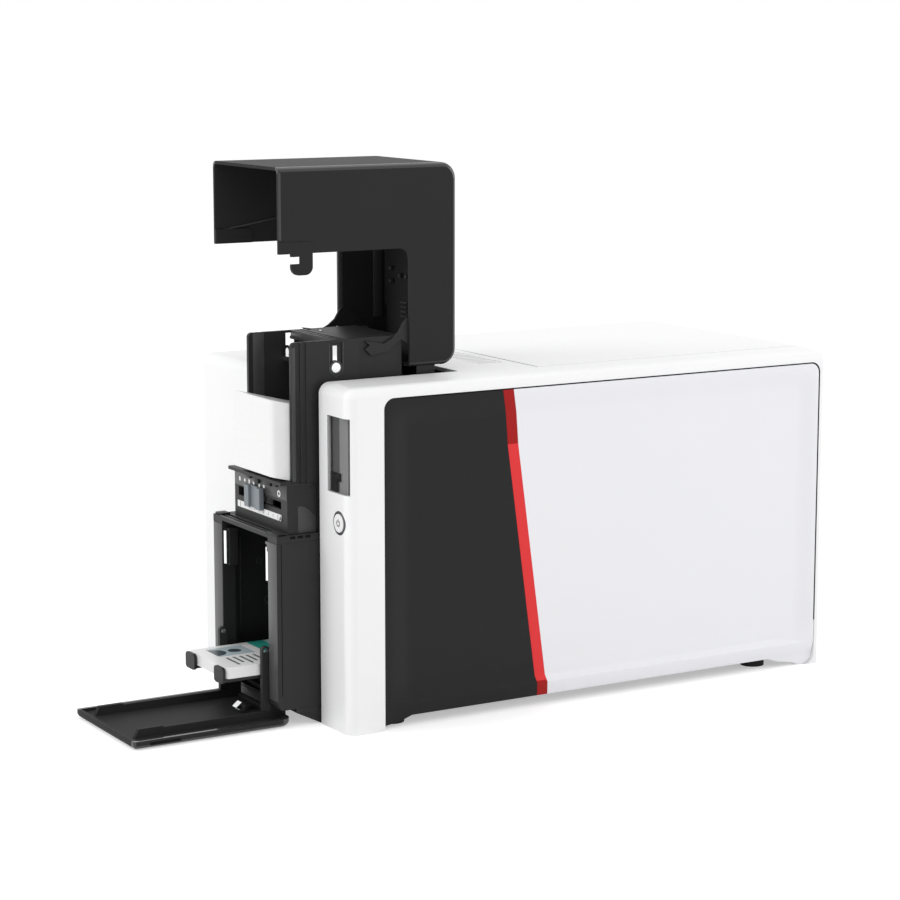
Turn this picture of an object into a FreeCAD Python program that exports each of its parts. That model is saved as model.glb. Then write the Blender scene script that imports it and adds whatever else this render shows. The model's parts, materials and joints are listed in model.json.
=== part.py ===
import FreeCAD, Part
import math
import os
import Sketcher

# Desktop printer for plastic identity cards, with its cover raised and its hopper door open.
# Millimetres. +Z is up, the front faces -Y and +X is on the right seen from the front.
# The origin is at floor level, under the middle of the whole machine as it stands open.

doc = FreeCAD.newDocument("card_printer")
sheet = doc.addObject("Spreadsheet::Sheet", "Sizes")

DIMENSIONS = [
    # Whole machine
    ("body_width", 205),
    ("body_length", 357),
    ("body_height", 212),
    ("flap_reach", 124.6),
    # Allowances
    ("fit_gap", 0.3),
    ("run_gap", 0.06),
    ("overrun", 6),
    # Plastic cards
    ("card_length", 85.6),
    ("card_width", 54),
    ("card_play", 0.75),
    ("blank_stack_height", 47),
    ("printed_stack_height", 7),
    # White housing
    ("housing_wall", 2.5),
    ("housing_radius", 7),
    ("right_column_width", 36.6),
    ("bay_width", 91.1),
    ("bay_length", 98),
    ("side_wall", 5.7),
    ("right_seam_margin", 8.1),
    ("left_seam_margin", 19.8),
    ("cross_seam_length", 151),
    ("top_plate_step", 0.4),
    ("foot_length", 20),
    ("foot_slope", 25),
    ("arch_height", 6.8),
    ("rear_foot_length", 14),
    # Side panels
    ("panel_front_margin", 24.7),
    ("panel_rear_margin", 2.4),
    ("panel_top_margin", 7.2),
    ("panel_recess", 3.4),
    ("panel_inset", 0.3),
    ("panel_radius", 7),
    ("dish_front_margin", 13.3),
    ("dish_front_slope", 9.5),
    ("dish_rear_margin", 5.6),
    ("dish_rear_slope", 24),
    ("dish_top_margin", 14.8),
    ("dish_top_slope", 21),
    ("dish_bottom_margin", 9.2),
    ("dish_bottom_slope", 4),
    ("dish_depth", 2.2),
    ("bevel_height", 9),
    ("bevel_depth", 2.2),
    ("stripe_top_length", 107.3),
    ("stripe_bottom_length", 136.6),
    ("stripe_width", 7.6),
    # Display window and power button
    ("window_left_inset", 26),
    ("window_right_inset", 1.8),
    ("window_top_drop", 18.2),
    ("window_height", 46.3),
    ("window_thickness", 1.6),
    ("backing_thickness", 1.2),
    ("backing_gap", 0.4),
    ("pointer_width", 8.5),
    ("pointer_height", 11.8),
    ("pointer_arm_length", 12.8),
    ("pointer_arm_height", 4.8),
    ("button_inset", 11.8),
    ("button_drop", 17.7),
    ("button_radius", 5.6),
    ("button_ring_width", 1.8),
    ("button_stem_radius", 2.6),
    ("button_depth", 6),
    ("button_proud", 0.6),
    ("button_travel", 1.2),
    ("guide_depth", 4),
    # Raised cover
    ("cover_wall", 2),
    ("cover_side_gap", 1.6),
    ("cover_width", 88.7),
    ("cover_front_reach", 25.2),
    ("cover_rise", 112.35),
    ("arm_depth", 51.5),
    ("leg_depth", 33.9),
    ("leg_rear", 98),
    ("leg_gap", 4.5),
    ("cover_radius", 10),
    ("cover_inner_radius", 7),
    ("cover_edge_radius", 3.5),
    ("rib_width", 6),
    ("rib_depth", 1.4),
    ("cover_hook_drop", 13),
    ("cover_hook_finger", 1.8),
    ("cover_hook_notch", 4.4),
    ("cover_hook_throat", 6.2),
    ("cover_hook_width", 14.3),
    ("cover_hook_start", 8.4),
    ("cover_hook_radius", 5),
    ("hook_plate_height", 7),
    ("hook_plate_proud", 0.5),
    ("hook_plate_radius", 3),
    ("cover_tab_length", 25),
    ("cover_tab_height", 9),
    ("cover_tab_thickness", 1.2),
    ("cover_tab_radius", 3),
    # Cover hinge
    ("hinge_length", 77.85),
    ("hinge_rise", 17.15),
    ("hinge_pin_radius", 2.5),
    ("hinge_pin_head", 1.2),
    ("hinge_pin_head_radius", 4),
    ("hinge_arm_thickness", 1.7),
    ("hinge_hub_radius", 7),
    ("hinge_arm_reach", 43.85),
    ("hinge_arm_rise", 18),
    # Chassis
    ("chassis_thickness", 1),
    ("chassis_front_length", 61),
    ("chassis_rear_gap", 12.5),
    ("chassis_drop", 9),
    ("chassis_ear_length", 13),
    ("chassis_gap", 0.4),
    ("base_thickness", 2.5),
    ("base_height", 8.4),
    ("rear_panel_thickness", 2.5),
    ("rear_panel_inset", 2),
    # Feet
    ("pad_radius", 8),
    ("pad_front_length", 40),
    ("pad_rear_margin", 39),
    ("pad_side_inset", 20),
    # Card feeder
    ("feeder_front_reach", 16.5),
    ("feeder_wall", 2.7),
    ("feeder_thin_wall", 1.2),
    ("feeder_side_gap", 0.4),
    ("feeder_rise", 24.5),
    ("feeder_step_length", 30),
    ("feeder_slope", 14),
    ("feeder_ridge_depth", 0.8),
    ("feeder_ridge_width", 4),
    ("blank_overhang", 28.5),
    ("blank_rise", 5.3),
    ("floor_thickness", 2),
    ("gate_height", 1.6),
    ("deck_thickness", 1.8),
    ("deck_front_length", 12),
    ("deck_lip", 16),
    ("deck_drop", 3.4),
    ("slot_length", 14.2),
    ("slot_width", 3.2),
    ("slot_height", 15),
    ("slot_widening", 3.2),
    ("wide_slot_height", 17),
    ("slot_recess_radius", 3.4),
    ("slot_drop", 18.5),
    ("weight_bar_height", 3),
    ("weight_bar_length", 14),
    ("weight_pin_radius", 1.5),
    ("weight_head_radius", 3),
    ("slot_recess_depth", 1.1),
    ("slot_recess_margin", 4.2),
    # Gauge for the card thickness
    ("gauge_reach", 20),
    ("gauge_width", 72),
    ("gauge_height", 30.5),
    ("gauge_wall", 2.4),
    ("gauge_lip_reach", 24.5),
    ("gauge_lip_thickness", 2),
    ("gauge_slot_left", 16),
    ("gauge_slot_right", 8.2),
    ("gauge_slot_bottom", 14.5),
    ("gauge_slot_height", 4.6),
    ("gauge_knob_left", 20.3),
    ("gauge_knob_width", 21.2),
    ("gauge_knob_height", 13.7),
    ("gauge_knob_drop", 4.2),
    ("gauge_knob_proud", 1.2),
    ("gauge_knob_rib", 6),
    ("gauge_rib_proud", 2),
    ("gauge_strip_left", 4.7),
    ("gauge_strip_width", 59.6),
    ("gauge_strip_height", 3.9),
    ("gauge_strip_bottom", 7.3),
    ("gauge_strip_thickness", 0.5),
    ("gauge_hole_left", 5.3),
    ("gauge_hole_width", 8.7),
    ("gauge_hole_bottom", 14.5),
    ("gauge_hole_height", 5.7),
    # Output hopper
    ("hopper_front_reach", 28.5),
    ("path_clearance", 2.5),
    ("hopper_wall", 2.5),
    ("hopper_post", 12.6),
    ("hopper_post_depth", 9),
    ("hopper_corner_radius", 4),
    ("ledge_height", 4.5),
    ("ledge_rim", 1.2),
    ("rod_radius", 1.25),
    ("rod_height", 21),
    ("rod_drop", 8.5),
    ("rod_holder_width", 5),
    ("rod_holder_depth", 6),
    # Hopper door
    ("flap_hinge_reach", 23),
    ("flap_hinge_height", 15),
    ("flap_thickness", 3),
    ("flap_floor", 0.5),
    ("flap_rim", 2.6),
    ("flap_rim_height", 5),
    ("flap_radius", 2.2),
    ("flap_rear_radius", 8),
    ("flap_edge_radius", 3),
    ("flap_rail_width", 3.2),
    ("flap_rail_height", 8.4),
    ("flap_boss_height", 9.2),
    ("flap_boss_length", 20),
    ("flap_boss_slope", 4),
    ("flap_boss_start", 5),
    ("flap_pin_radius", 1.8),
    ("flap_hub_radius", 4.5),
    ("lever_depth", 5.5),
    ("lever_height", 34.3),
    ("lever_gap", 0.35),
    ("lever_eye_radius", 1.5),
    ("spring_left", 51.5),
    ("spring_width", 6),
    ("spring_length", 7),
    ("spring_start", 10),
    ("spring_height", 3),
    ("spring_thickness", 0.8),
    # Card tray
    ("tray_front_reach", 57.5),
    ("tray_thickness", 2),
    ("tray_height", 28.8),
    ("tray_prong_width", 13),
    ("tray_notch_length", 30),
    ("clip_thickness", 1.8),
    ("clip_drop", 1.2),
    ("clip_play", 0.3),
    ("clip_radius", 2.5),
    ("tray_runner_width", 3),
    ("tray_runner_inset", 6),
    ("tray_runner_length", 40),
    # Card transport
    ("path_drop", 90),
    ("feed_roller_radius", 8),
    ("feed_roller_width", 30),
    ("feed_roller_length", 32),
    ("feed_shaft_radius", 2.5),
    ("shaft_radius", 3),
    ("bearing_gap", 0.05),
    ("shaft_overhang", 4),
    ("roller_radius", 6),
    ("roller_width", 52),
    ("transport_front_length", 84),
    ("platen_length", 132),
    ("transport_rear_length", 184),
    ("guide_thickness", 1.5),
    ("guide_front_length", 92),
    ("guide_rear_gap", 40),
    ("guide_slot", 15),
    ("pulley_radius", 6.5),
    ("pulley_width", 3.5),
    ("pulley_gap", 1.5),
    # Ribbon and print head
    ("ribbon_core_radius", 8),
    ("ribbon_supply_radius", 19),
    ("ribbon_takeup_radius", 12),
    ("ribbon_top_gap", 22.5),
    ("supply_length", 190),
    ("takeup_length", 110),
    ("spool_pin_radius", 4),
    ("head_gap", 0.9),
    ("head_length", 12),
    ("head_height", 26),
    ("head_edge", 3),
    ("head_lift", 4),
    ("head_bracket_wall", 3),
    ("head_bracket_height", 12),
    # Drive
    ("motor_radius", 21),
    ("motor_length", 34),
    ("motor_axis_length", 240),
    ("motor_axis_height", 60),
    ("motor_shaft_radius", 2.5),
    ("motor_shaft_depth", 12),
    ("belt_thickness", 1.2),
    ("belt_width", 3),
    ("belt_gap", 0.3),
    # Electronics and sockets
    ("board_thickness", 1.6),
    ("board_length", 200),
    ("board_height", 120),
    ("board_bottom", 40),
    ("board_standoff", 8),
    ("standoff_radius", 3),
    ("standoff_inset", 8),
    ("board_rear_gap", 10),
    ("socket_height", 36),
    ("socket_inset", 22),
    ("socket_pitch", 25),
    ("socket_depth", 16),
    ("socket_floor", 3),
    ("usb_width", 12),
    ("usb_height", 11),
    ("usb_hole", 8.4),
    ("network_width", 16),
    ("network_height", 14),
    ("network_hole", 11.7),
    ("network_hole_height", 8),
    ("inlet_radius", 6),
    ("inlet_hole_radius", 2.75),
    ("inlet_hole_length", 9.5),
    # Fasteners
    ("screw_head_radius", 2.8),
    ("screw_head_height", 1.6),
    ("screw_inset", 9),
    ("screw_shank_radius", 1.4),
    ("screw_length", 8),
    ("screw_boss", 10),
    # Vent in the top plate
    ("vent_slot_width", 3),
    ("vent_slot_length", 18),
    ("vent_pitch", 6.5),
    ("vent_margin", 6),
]

# The row of vent slots in the front plate of the top.
VENT_COUNT = 10

for row, (alias, value) in enumerate(DIMENSIONS, start=1):
    sheet.set(f"A{row}", alias)
    sheet.set(f"B{row}", str(value))
    sheet.setAlias(f"B{row}", alias)
doc.recompute()


class Length:
    """A length that knows both its value and the sheet expression that gives it."""

    def __init__(self, text, value):
        self.text = text
        self.value = value

    def __add__(self, other):
        other = as_length(other)
        return Length(f"({self.text} + {other.text})", self.value + other.value)

    def __sub__(self, other):
        other = as_length(other)
        return Length(f"({self.text} - {other.text})", self.value - other.value)

    def __mul__(self, factor):
        return Length(f"({self.text} * {float(factor)!r})", self.value * factor)

    def __truediv__(self, factor):
        return Length(f"({self.text} / {float(factor)!r})", self.value / factor)

    def __neg__(self):
        return Length(f"(0 - {self.text})", -self.value)

    __rmul__ = __mul__


def as_length(number):
    return number if isinstance(number, Length) else Length(repr(float(number)), float(number))


ZERO = as_length(0)
SIZE = {alias: Length(f"Sizes.{alias}", float(sheet.get(alias))) for alias, _ in DIMENSIONS}


class Named:
    """The sheet's sizes as attributes, so that a formula reads as words."""

    def __getattr__(self, alias):
        return SIZE[alias]


D = Named()


# Shapes made of bound primitives

def bind(obj, place, length):
    obj.setExpression(place, as_length(length).text)


def around(middle, width):
    """The two ends of a width laid about its middle."""
    return middle - width / 2, middle + width / 2


def ahead(start, width):
    """The two ends of a width laid from its start."""
    return start, start + width


def grown(span, gap):
    """A span made longer by a gap at both ends."""
    return span[0] - gap, span[1] + gap


def box(name, x, y, z):
    """A block between two lengths along each axis."""
    obj = doc.addObject("Part::Box", name)
    for place, size, span in (("x", "Length", x), ("y", "Width", y), ("z", "Height", z)):
        low, high = sorted((as_length(span[0]), as_length(span[1])), key=lambda end: end.value)
        bind(obj, f"Placement.Base.{place}", low)
        bind(obj, size, high - low)
    return obj


TURNS = {
    "x": FreeCAD.Rotation(FreeCAD.Vector(0, 1, 0), 90),
    "y": FreeCAD.Rotation(FreeCAD.Vector(1, 0, 0), -90),
    "z": FreeCAD.Rotation(),
}


def rod(name, axis, centre, span, radius):
    """A cylinder along one axis; centre holds the other two coordinates in X, Y, Z order."""
    obj = doc.addObject("Part::Cylinder", name)
    obj.Placement = FreeCAD.Placement(FreeCAD.Vector(), TURNS[axis])
    low, high = sorted((as_length(span[0]), as_length(span[1])), key=lambda end: end.value)
    places = [place for place in "xyz" if place != axis]
    for place, value in zip(places, centre):
        bind(obj, f"Placement.Base.{place}", value)
    bind(obj, f"Placement.Base.{axis}", low)
    bind(obj, "Height", high - low)
    bind(obj, "Radius", radius)
    return obj


PLANE_OF = {"x": "YZ_Plane", "y": "XZ_Plane", "z": "XY_Plane"}


def profile(name, axis, points, span):
    """A flat outline with straight sides, drawn square to an axis and padded along it."""
    body = doc.addObject("PartDesign::Body", name)
    plane = [item for item in body.Origin.OriginFeatures if item.Role == PLANE_OF[axis]][0]
    sketch = body.newObject("Sketcher::SketchObject", f"{name}_outline")
    sketch.AttachmentSupport = (plane, [""])
    sketch.MapMode = "FlatFace"
    points = [(as_length(across), as_length(up)) for across, up in points]
    count = len(points)
    for index in range(count):
        start, end = points[index], points[(index + 1) % count]
        sketch.addGeometry(Part.LineSegment(
            FreeCAD.Vector(start[0].value, start[1].value, 0),
            FreeCAD.Vector(end[0].value, end[1].value, 0)), False)
    for index in range(count):
        sketch.addConstraint(Sketcher.Constraint("Coincident", index, 2, (index + 1) % count, 1))
    for index, (across, up) in enumerate(points):
        for kind, length in (("DistanceX", across), ("DistanceY", up)):
            place = sketch.addConstraint(Sketcher.Constraint(kind, -1, 1, index, 1, length.value))
            bind(sketch, f"Constraints[{place}]", length)
    low, high = sorted((as_length(span[0]), as_length(span[1])), key=lambda end: end.value)
    pad = body.newObject("PartDesign::Pad", f"{name}_pad")
    pad.Profile = sketch
    bind(pad, "Length", high - low)
    # The XZ plane's normal is -Y, so its offset and its pad both turn round.
    bind(sketch, ".AttachmentOffset.Base.z", -low if axis == "y" else low)
    pad.Reversed = axis == "y"
    body.Tip = pad
    return body


def cut(name, base, *tools):
    """The base less its tools."""
    result = base
    for number, tool in enumerate(tools, start=1):
        last = number == len(tools)
        obj = doc.addObject("Part::Cut", name if last else f"{name}_cut_{number}")
        obj.Base = result
        obj.Tool = tool
        result = obj
    return result


def fuse(name, *shapes):
    """Touching shapes joined into one piece."""
    obj = doc.addObject("Part::MultiFuse", name)
    obj.Shapes = list(shapes)
    obj.Refine = True
    return obj


def common(name, first, second):
    obj = doc.addObject("Part::Common", name)
    obj.Base = first
    obj.Tool = second
    return obj


def rounded(name, base, radius, picks):
    """The base with the edges that pass the test rounded."""
    doc.recompute()
    chosen = [number for number, edge in enumerate(base.Shape.Edges, start=1) if picks(edge)]
    obj = doc.addObject("Part::Fillet", name)
    obj.Base = base
    obj.Edges = [(number, radius.value, radius.value) for number in chosen]
    return obj


NEAR = 1e-4


def along(edge, axis):
    """Whether a straight edge runs along an axis."""
    first, last = edge.Vertexes[0].Point, edge.Vertexes[-1].Point
    step = last - first
    sizes = {"x": abs(step.x), "y": abs(step.y), "z": abs(step.z)}
    return sizes[axis] > NEAR and all(size < NEAR for key, size in sizes.items() if key != axis)


def on(edge, place, value):
    """Whether the middle of an edge has that coordinate."""
    return abs(getattr(edge.CenterOfMass, place) - as_length(value).value) < NEAR


FINISHED = []


def piece(label, obj):
    """Marks an object as one finished sub-part, which its label names."""
    obj.Label = label
    FINISHED.append(obj)
    return obj


# Main planes, worked out from the driving sizes

side = D.body_width / 2
front = (D.flap_reach - D.body_length) / 2
back = front + D.body_length
bay_right = side - D.right_column_width
bay_left = bay_right - D.bay_width
bay_end = front + D.bay_length
over = D.overrun

cover_right = bay_right - D.cover_side_gap
cover_left = cover_right - D.cover_width
inner_right = cover_right - D.cover_wall
inner_left = cover_left + D.cover_wall

hinge_y = front + D.hinge_length
hinge_z = D.body_height + D.hinge_rise
cover_top = hinge_z + D.cover_rise
leg_bottom = D.body_height + D.leg_gap
base_top = D.base_height + D.base_thickness
rear_face = back - D.rear_panel_inset
rear_front = rear_face - D.rear_panel_thickness
screw_x = side - D.side_wall - D.screw_boss / 2
screw_heights = (base_top + D.screw_inset, D.body_height - D.housing_wall - D.screw_inset)

# The card path sets the hopper's roof, and the gauge stands between that roof and the feeder
path_height = D.body_height - D.path_drop
hopper_top = path_height - D.path_clearance
feeder_bottom = hopper_top + D.gauge_height
feeder_top = D.body_height + D.feeder_rise
blank_bottom = feeder_bottom + D.blank_rise
slot_bottom = feeder_top - D.slot_drop
weight_height = slot_bottom + D.weight_pin_radius
chassis_top = D.body_height - D.chassis_drop
ribbon_height = D.body_height - D.housing_wall - D.ribbon_supply_radius - D.ribbon_top_gap


# White housing: a right and a left moulding, each a column, a side and a strip of the top

# Behind a foot the underside rises in stages: shares of the slope's length and of the arch's height
foot_shares = ((0, 0), (0.18, 0.3), (0.7, 0.62), (1, 1))


def arch(name, lift):
    """The space under the body between its front and rear feet, raised by a gap."""
    start = front + D.foot_length
    end = back - D.rear_foot_length
    rise = [(start + D.foot_slope * along_share, D.arch_height * up_share + lift)
            for along_share, up_share in foot_shares]
    fall = [(end - D.foot_slope * along_share, D.arch_height * up_share + lift)
            for along_share, up_share in reversed(foot_shares)]
    outline = [(start, -over), *rise, *fall, (end, -over)]
    return profile(name, "x", outline, (-side - over, side + over))


def panel_outline(name, inset, span):
    """The outline of a side panel, set in by a gap, as a slab between two X positions."""
    first = front + D.panel_front_margin + inset
    last = back - D.panel_rear_margin - inset
    top = D.body_height - D.panel_top_margin - inset
    slab = box(f"{name}_block", span, (first, last), (inset, top))
    corners = ((first, top), (last, top), (last, inset))

    def is_corner(edge):
        return along(edge, "x") and any(on(edge, "y", y) and on(edge, "z", z) for y, z in corners)

    smooth = rounded(f"{name}_rounded", slab, D.panel_radius, is_corner)
    return cut(name, smooth, arch(f"{name}_arch", inset))


def housing(name, sign, column_edge, seam, extra_cuts):
    """One half of the white shell; sign is +1 on the right and -1 on the left."""
    outside = side * sign
    block = box(f"{name}_block", (column_edge, outside), (front, back), (ZERO, D.body_height))

    def outer_edge(edge):
        upright = along(edge, "z") and on(edge, "x", outside) and on(edge, "y", front)
        top_side = along(edge, "y") and on(edge, "x", outside) and on(edge, "z", D.body_height)
        top_front = along(edge, "x") and on(edge, "y", front) and on(edge, "z", D.body_height)
        return upright or top_side or top_front

    shell = rounded(f"{name}_block_rounded", block, D.housing_radius, outer_edge)
    wall = D.housing_wall * sign
    hollow = box(f"{name}_hollow", (column_edge + wall, outside - D.side_wall * sign),
                 (front + D.housing_wall, back + over), (-over, D.body_height - D.housing_wall))
    inner = box(f"{name}_inner_opening", (column_edge - over * sign, seam),
                (bay_end, back + over), (-over, D.body_height + over))
    recess_floor = outside - D.panel_recess * sign
    recess = panel_outline(f"{name}_recess", ZERO, (recess_floor, outside + over * sign))
    bosses = []
    drills = []
    boss_x = (outside - wall, outside - (D.side_wall + D.screw_boss) * sign)
    boss_y = (rear_front - D.screw_length - D.fit_gap, rear_front - D.run_gap)
    drill_y = (rear_front - D.screw_length, rear_front)
    for level, height in enumerate(screw_heights):
        bosses.append(box(f"{name}_boss_{level}", boss_x, boss_y, around(height, D.screw_boss)))
        place = (screw_x * sign, height)
        drills.append(rod(f"{name}_drill_{level}", "y", place, drill_y, D.screw_shank_radius))
    solid = fuse(f"{name}_with_bosses", cut(f"{name}_walls", shell, hollow, inner), *bosses)
    return cut(name, solid, arch(f"{name}_arch", ZERO), recess, *drills, *extra_cuts)


window_left = side - D.window_left_inset
window_right = side - D.window_right_inset
window_top = D.body_height - D.window_top_drop
window_span = (window_top - D.window_height, window_top)
button_x = side - D.button_inset
button_height = window_span[0] - D.button_drop
ring_radius = D.button_radius + D.button_ring_width

button_centre = (button_x, button_height)
right_cuts = [
    box("window_hole", (window_left, window_right), (front - over, front + D.housing_radius), window_span),
    rod("button_hole", "y", button_centre, (front - over, front + D.button_depth + over), ring_radius),
]
right_seam = bay_right + D.right_seam_margin
left_seam = bay_left - D.left_seam_margin
piece("right_housing", housing("right_housing_shell", 1, bay_right, right_seam, right_cuts))
piece("left_housing", housing("left_housing_shell", -1, bay_left, left_seam, []))

# Top: a front plate behind the bay with a row of vents, and a rear cover

seam_right = right_seam - D.fit_gap
seam_left = left_seam + D.fit_gap
cross_seam = front + D.cross_seam_length
top_span = (D.body_height - D.housing_wall, D.body_height)
top_plate = box("top_plate", (seam_left, seam_right), (bay_end + D.fit_gap, cross_seam), top_span)
vent_end = cross_seam - D.vent_margin
vents = []
for number in range(VENT_COUNT):
    vent_x = bay_left + D.vent_margin + D.vent_pitch * number
    vents.append(box(f"vent_{number}", ahead(vent_x, D.vent_slot_width),
                     (vent_end - D.vent_slot_length, vent_end), grown(top_span, over)))
vent_group = doc.addObject("Part::Compound", "vent_group")
vent_group.Links = vents
piece("top_front_plate", cut("top_front", top_plate, vent_group))
piece("top_rear_cover", box("rear_cover_block", (seam_left, seam_right), (cross_seam + D.fit_gap, back),
                            (D.body_height - D.housing_wall, D.body_height + D.top_plate_step)))

# Side panels: black in front, a red slanted stripe, white behind, with one shallow dish across all three
# and a bevel along the bottom


def dish(name, sign):
    """A shallow tapered hollow in the face of a side panel."""
    surface = (side - D.panel_inset) * sign
    floor = surface - D.dish_depth * sign
    outer = (front + D.panel_front_margin + D.dish_front_margin,
             back - D.panel_rear_margin - D.dish_rear_margin,
             D.arch_height + D.dish_bottom_margin,
             D.body_height - D.panel_top_margin - D.dish_top_margin)
    inner = (outer[0] + D.dish_front_slope, outer[1] - D.dish_rear_slope,
             outer[2] + D.dish_bottom_slope, outer[3] - D.dish_top_slope)
    wires = []
    for x, (y1, y2, z1, z2) in ((surface, outer), (floor, inner)):
        corners = [(x, y1, z1), (x, y2, z1), (x, y2, z2), (x, y1, z2), (x, y1, z1)]
        points = [FreeCAD.Vector(*(place.value for place in corner)) for corner in corners]
        wires.append(Part.makePolygon(points))
    obj = doc.addObject("Part::Feature", name)
    obj.Shape = Part.makeLoft(wires, True, True)
    obj.Placement = FreeCAD.Placement()
    return obj


def bottom_bevel(name, sign):
    """What the panels lose where their lower edge turns inward."""
    surface = (side - D.panel_inset) * sign
    inner = surface - D.bevel_depth * sign
    outer = surface + over * sign
    top = D.arch_height + D.bevel_height
    return profile(name, "y", [
        (surface, top),
        (outer, top),
        (outer, -over),
        (inner, -over),
        (inner, D.arch_height)], (front, back))


def side_panels(hand, sign):
    surface = (side - D.panel_inset) * sign
    floor = (side - D.panel_recess) * sign
    across = (floor - over * sign, surface + over * sign)
    top = D.body_height
    lean = (D.stripe_bottom_length - D.stripe_top_length) / (D.body_height.value)

    def line_at(z, shift):
        return front + D.stripe_bottom_length + shift - lean * z.value

    def region(name, left, right):
        low = -over
        high = top + over
        return profile(f"{hand}_{name}_region", "x", [
            (left(low), low), (right(low), low), (right(high), high), (left(high), high)], across)

    def edge_line(shift):
        return lambda z: line_at(z, shift)

    far = back + over
    near = front
    areas = (
        ("front_panel", lambda z: near, edge_line(ZERO)),
        ("stripe", edge_line(ZERO), edge_line(D.stripe_width)),
        ("rear_panel_skin", edge_line(D.stripe_width), lambda z: far),
    )
    for name, left, right in areas:
        slab = panel_outline(f"{hand}_{name}_slab", D.fit_gap, (floor, surface))
        part = common(f"{hand}_{name}_area", slab, region(name, left, right))
        hollow = dish(f"{hand}_{name}_dish", sign)
        bevel = bottom_bevel(f"{hand}_{name}_bevel", sign)
        piece(f"{hand}_{name}", cut(f"{hand}_{name}_shaped", part, hollow, bevel))


side_panels("right", 1)
side_panels("left", -1)

# Display window with the two-tone panel and the hook-shaped pointer behind it

pane_block = box("pane_block", (bay_right, side), (front, back), (ZERO, D.body_height))
pane_outer = rounded("pane_outer", pane_block, D.housing_radius,
                     lambda edge: along(edge, "z") and on(edge, "x", side) and on(edge, "y", front))
pane_core = box("pane_core", (bay_right - over, side - D.window_thickness),
                (front + D.window_thickness, back + over), (-over, D.body_height + over))
pane_inner = rounded("pane_inner", pane_core, D.housing_radius - D.window_thickness,
                     lambda edge: along(edge, "z") and on(edge, "x", side - D.window_thickness)
                     and on(edge, "y", front + D.window_thickness))
pane_limits = box("pane_limits", grown((window_left, window_right), -D.run_gap),
                  (front - over, front + over), grown(window_span, -D.run_gap))
pane = cut("pane_shell", pane_outer, pane_inner)
piece("display_window", common("display_pane", pane, pane_limits))

backing_front = front + D.window_thickness + D.backing_gap
backing_right = side - D.side_wall - D.fit_gap
backing_low = window_span[0] - D.backing_thickness
pointer_face = (backing_front, backing_front + D.backing_thickness)
pointer_low = window_span[0] + D.run_gap
pointer_top = window_span[0] + D.pointer_height
backing_plate = box("backing_plate", (window_left - D.backing_thickness, backing_right),
                    (pointer_face[1], pointer_face[1] + D.backing_thickness),
                    (backing_low, window_span[1] + D.backing_thickness))
pointer_left = window_left + D.run_gap
pointer_bar = box("pointer_bar", (pointer_left, window_left + D.pointer_width), pointer_face,
                  (pointer_low, pointer_top))
pointer_arm = box("pointer_arm", (pointer_left, window_left + D.pointer_arm_length), pointer_face,
                  (pointer_top - D.pointer_arm_height, pointer_top))
piece("display_backing", fuse("backing", backing_plate, pointer_bar, pointer_arm))

# Power button in its ring

ring_outer = rod("ring_outer", "y", button_centre, ahead(front, D.guide_depth + D.housing_wall),
                 ring_radius - D.run_gap)
ring_bore = rod("ring_bore", "y", button_centre, (front - over, front + D.button_depth),
                D.button_radius + D.run_gap)
stem_bore = rod("stem_bore", "y", button_centre, ahead(front, D.button_depth + over),
                D.button_stem_radius + D.run_gap)
piece("button_ring", cut("ring", ring_outer, ring_bore, stem_bore))
button_rear = front + D.button_depth - D.button_travel - D.fit_gap
cap = rod("button_cap", "y", button_centre, (front - D.button_proud, button_rear), D.button_radius)
stem = rod("button_stem", "y", button_centre, ahead(button_rear, D.button_depth), D.button_stem_radius)
piece("power_button", fuse("button", cap, stem))

# Raised cover: an L-shaped channel, open on its inner side and at its front end

cover_front = front - D.cover_front_reach
arm_bottom = cover_top - D.arm_depth
leg_back = front + D.leg_rear
leg_front = leg_back - D.leg_depth
cover_profile = profile("cover_outline", "x", [
    (cover_front, arm_bottom),
    (leg_front, arm_bottom),
    (leg_front, leg_bottom),
    (leg_back, leg_bottom),
    (leg_back, cover_top),
    (cover_front, cover_top)], (cover_left, cover_right))


def back_corner(edge):
    top = on(edge, "z", cover_top)
    bottom = on(edge, "z", leg_bottom)
    return along(edge, "x") and on(edge, "y", leg_back) and (top or bottom)


def inside_corner(edge):
    return along(edge, "x") and on(edge, "y", leg_front) and on(edge, "z", arm_bottom)


def long_edge(edge):
    """The outer edges that run along the arm, round the corners and down the leg."""
    on_side = on(edge, "x", cover_right) or on(edge, "x", cover_left)
    centre = edge.CenterOfMass
    near_top = centre.z > (cover_top - D.cover_radius).value
    near_back = centre.y > (leg_back - D.cover_radius).value
    near_bottom = centre.z < (leg_bottom + D.cover_radius).value
    return on_side and (near_top or near_back or near_bottom)


cover_block = rounded("cover_block_back", cover_profile, D.cover_radius, back_corner)
cover_block = rounded("cover_block_inside", cover_block, D.cover_inner_radius, inside_corner)
cover_block = rounded("cover_block_edges", cover_block, D.cover_edge_radius, long_edge)
cover_cavity = profile("cover_cavity", "x", [
    (cover_front - over, arm_bottom - over),
    (leg_front - over, leg_bottom + D.cover_wall),
    (leg_back - D.cover_wall, leg_bottom + D.cover_wall),
    (leg_back - D.cover_wall, cover_top - D.cover_wall),
    (cover_front - over, cover_top - D.cover_wall)], (inner_left, inner_right))


def cavity_corner(edge):
    high = on(edge, "z", cover_top - D.cover_wall)
    low = on(edge, "z", leg_bottom + D.cover_wall)
    return along(edge, "x") and on(edge, "y", leg_back - D.cover_wall) and (high or low)


cover_space = rounded("cover_space", cover_cavity, D.cover_radius - D.cover_wall, cavity_corner)

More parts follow.
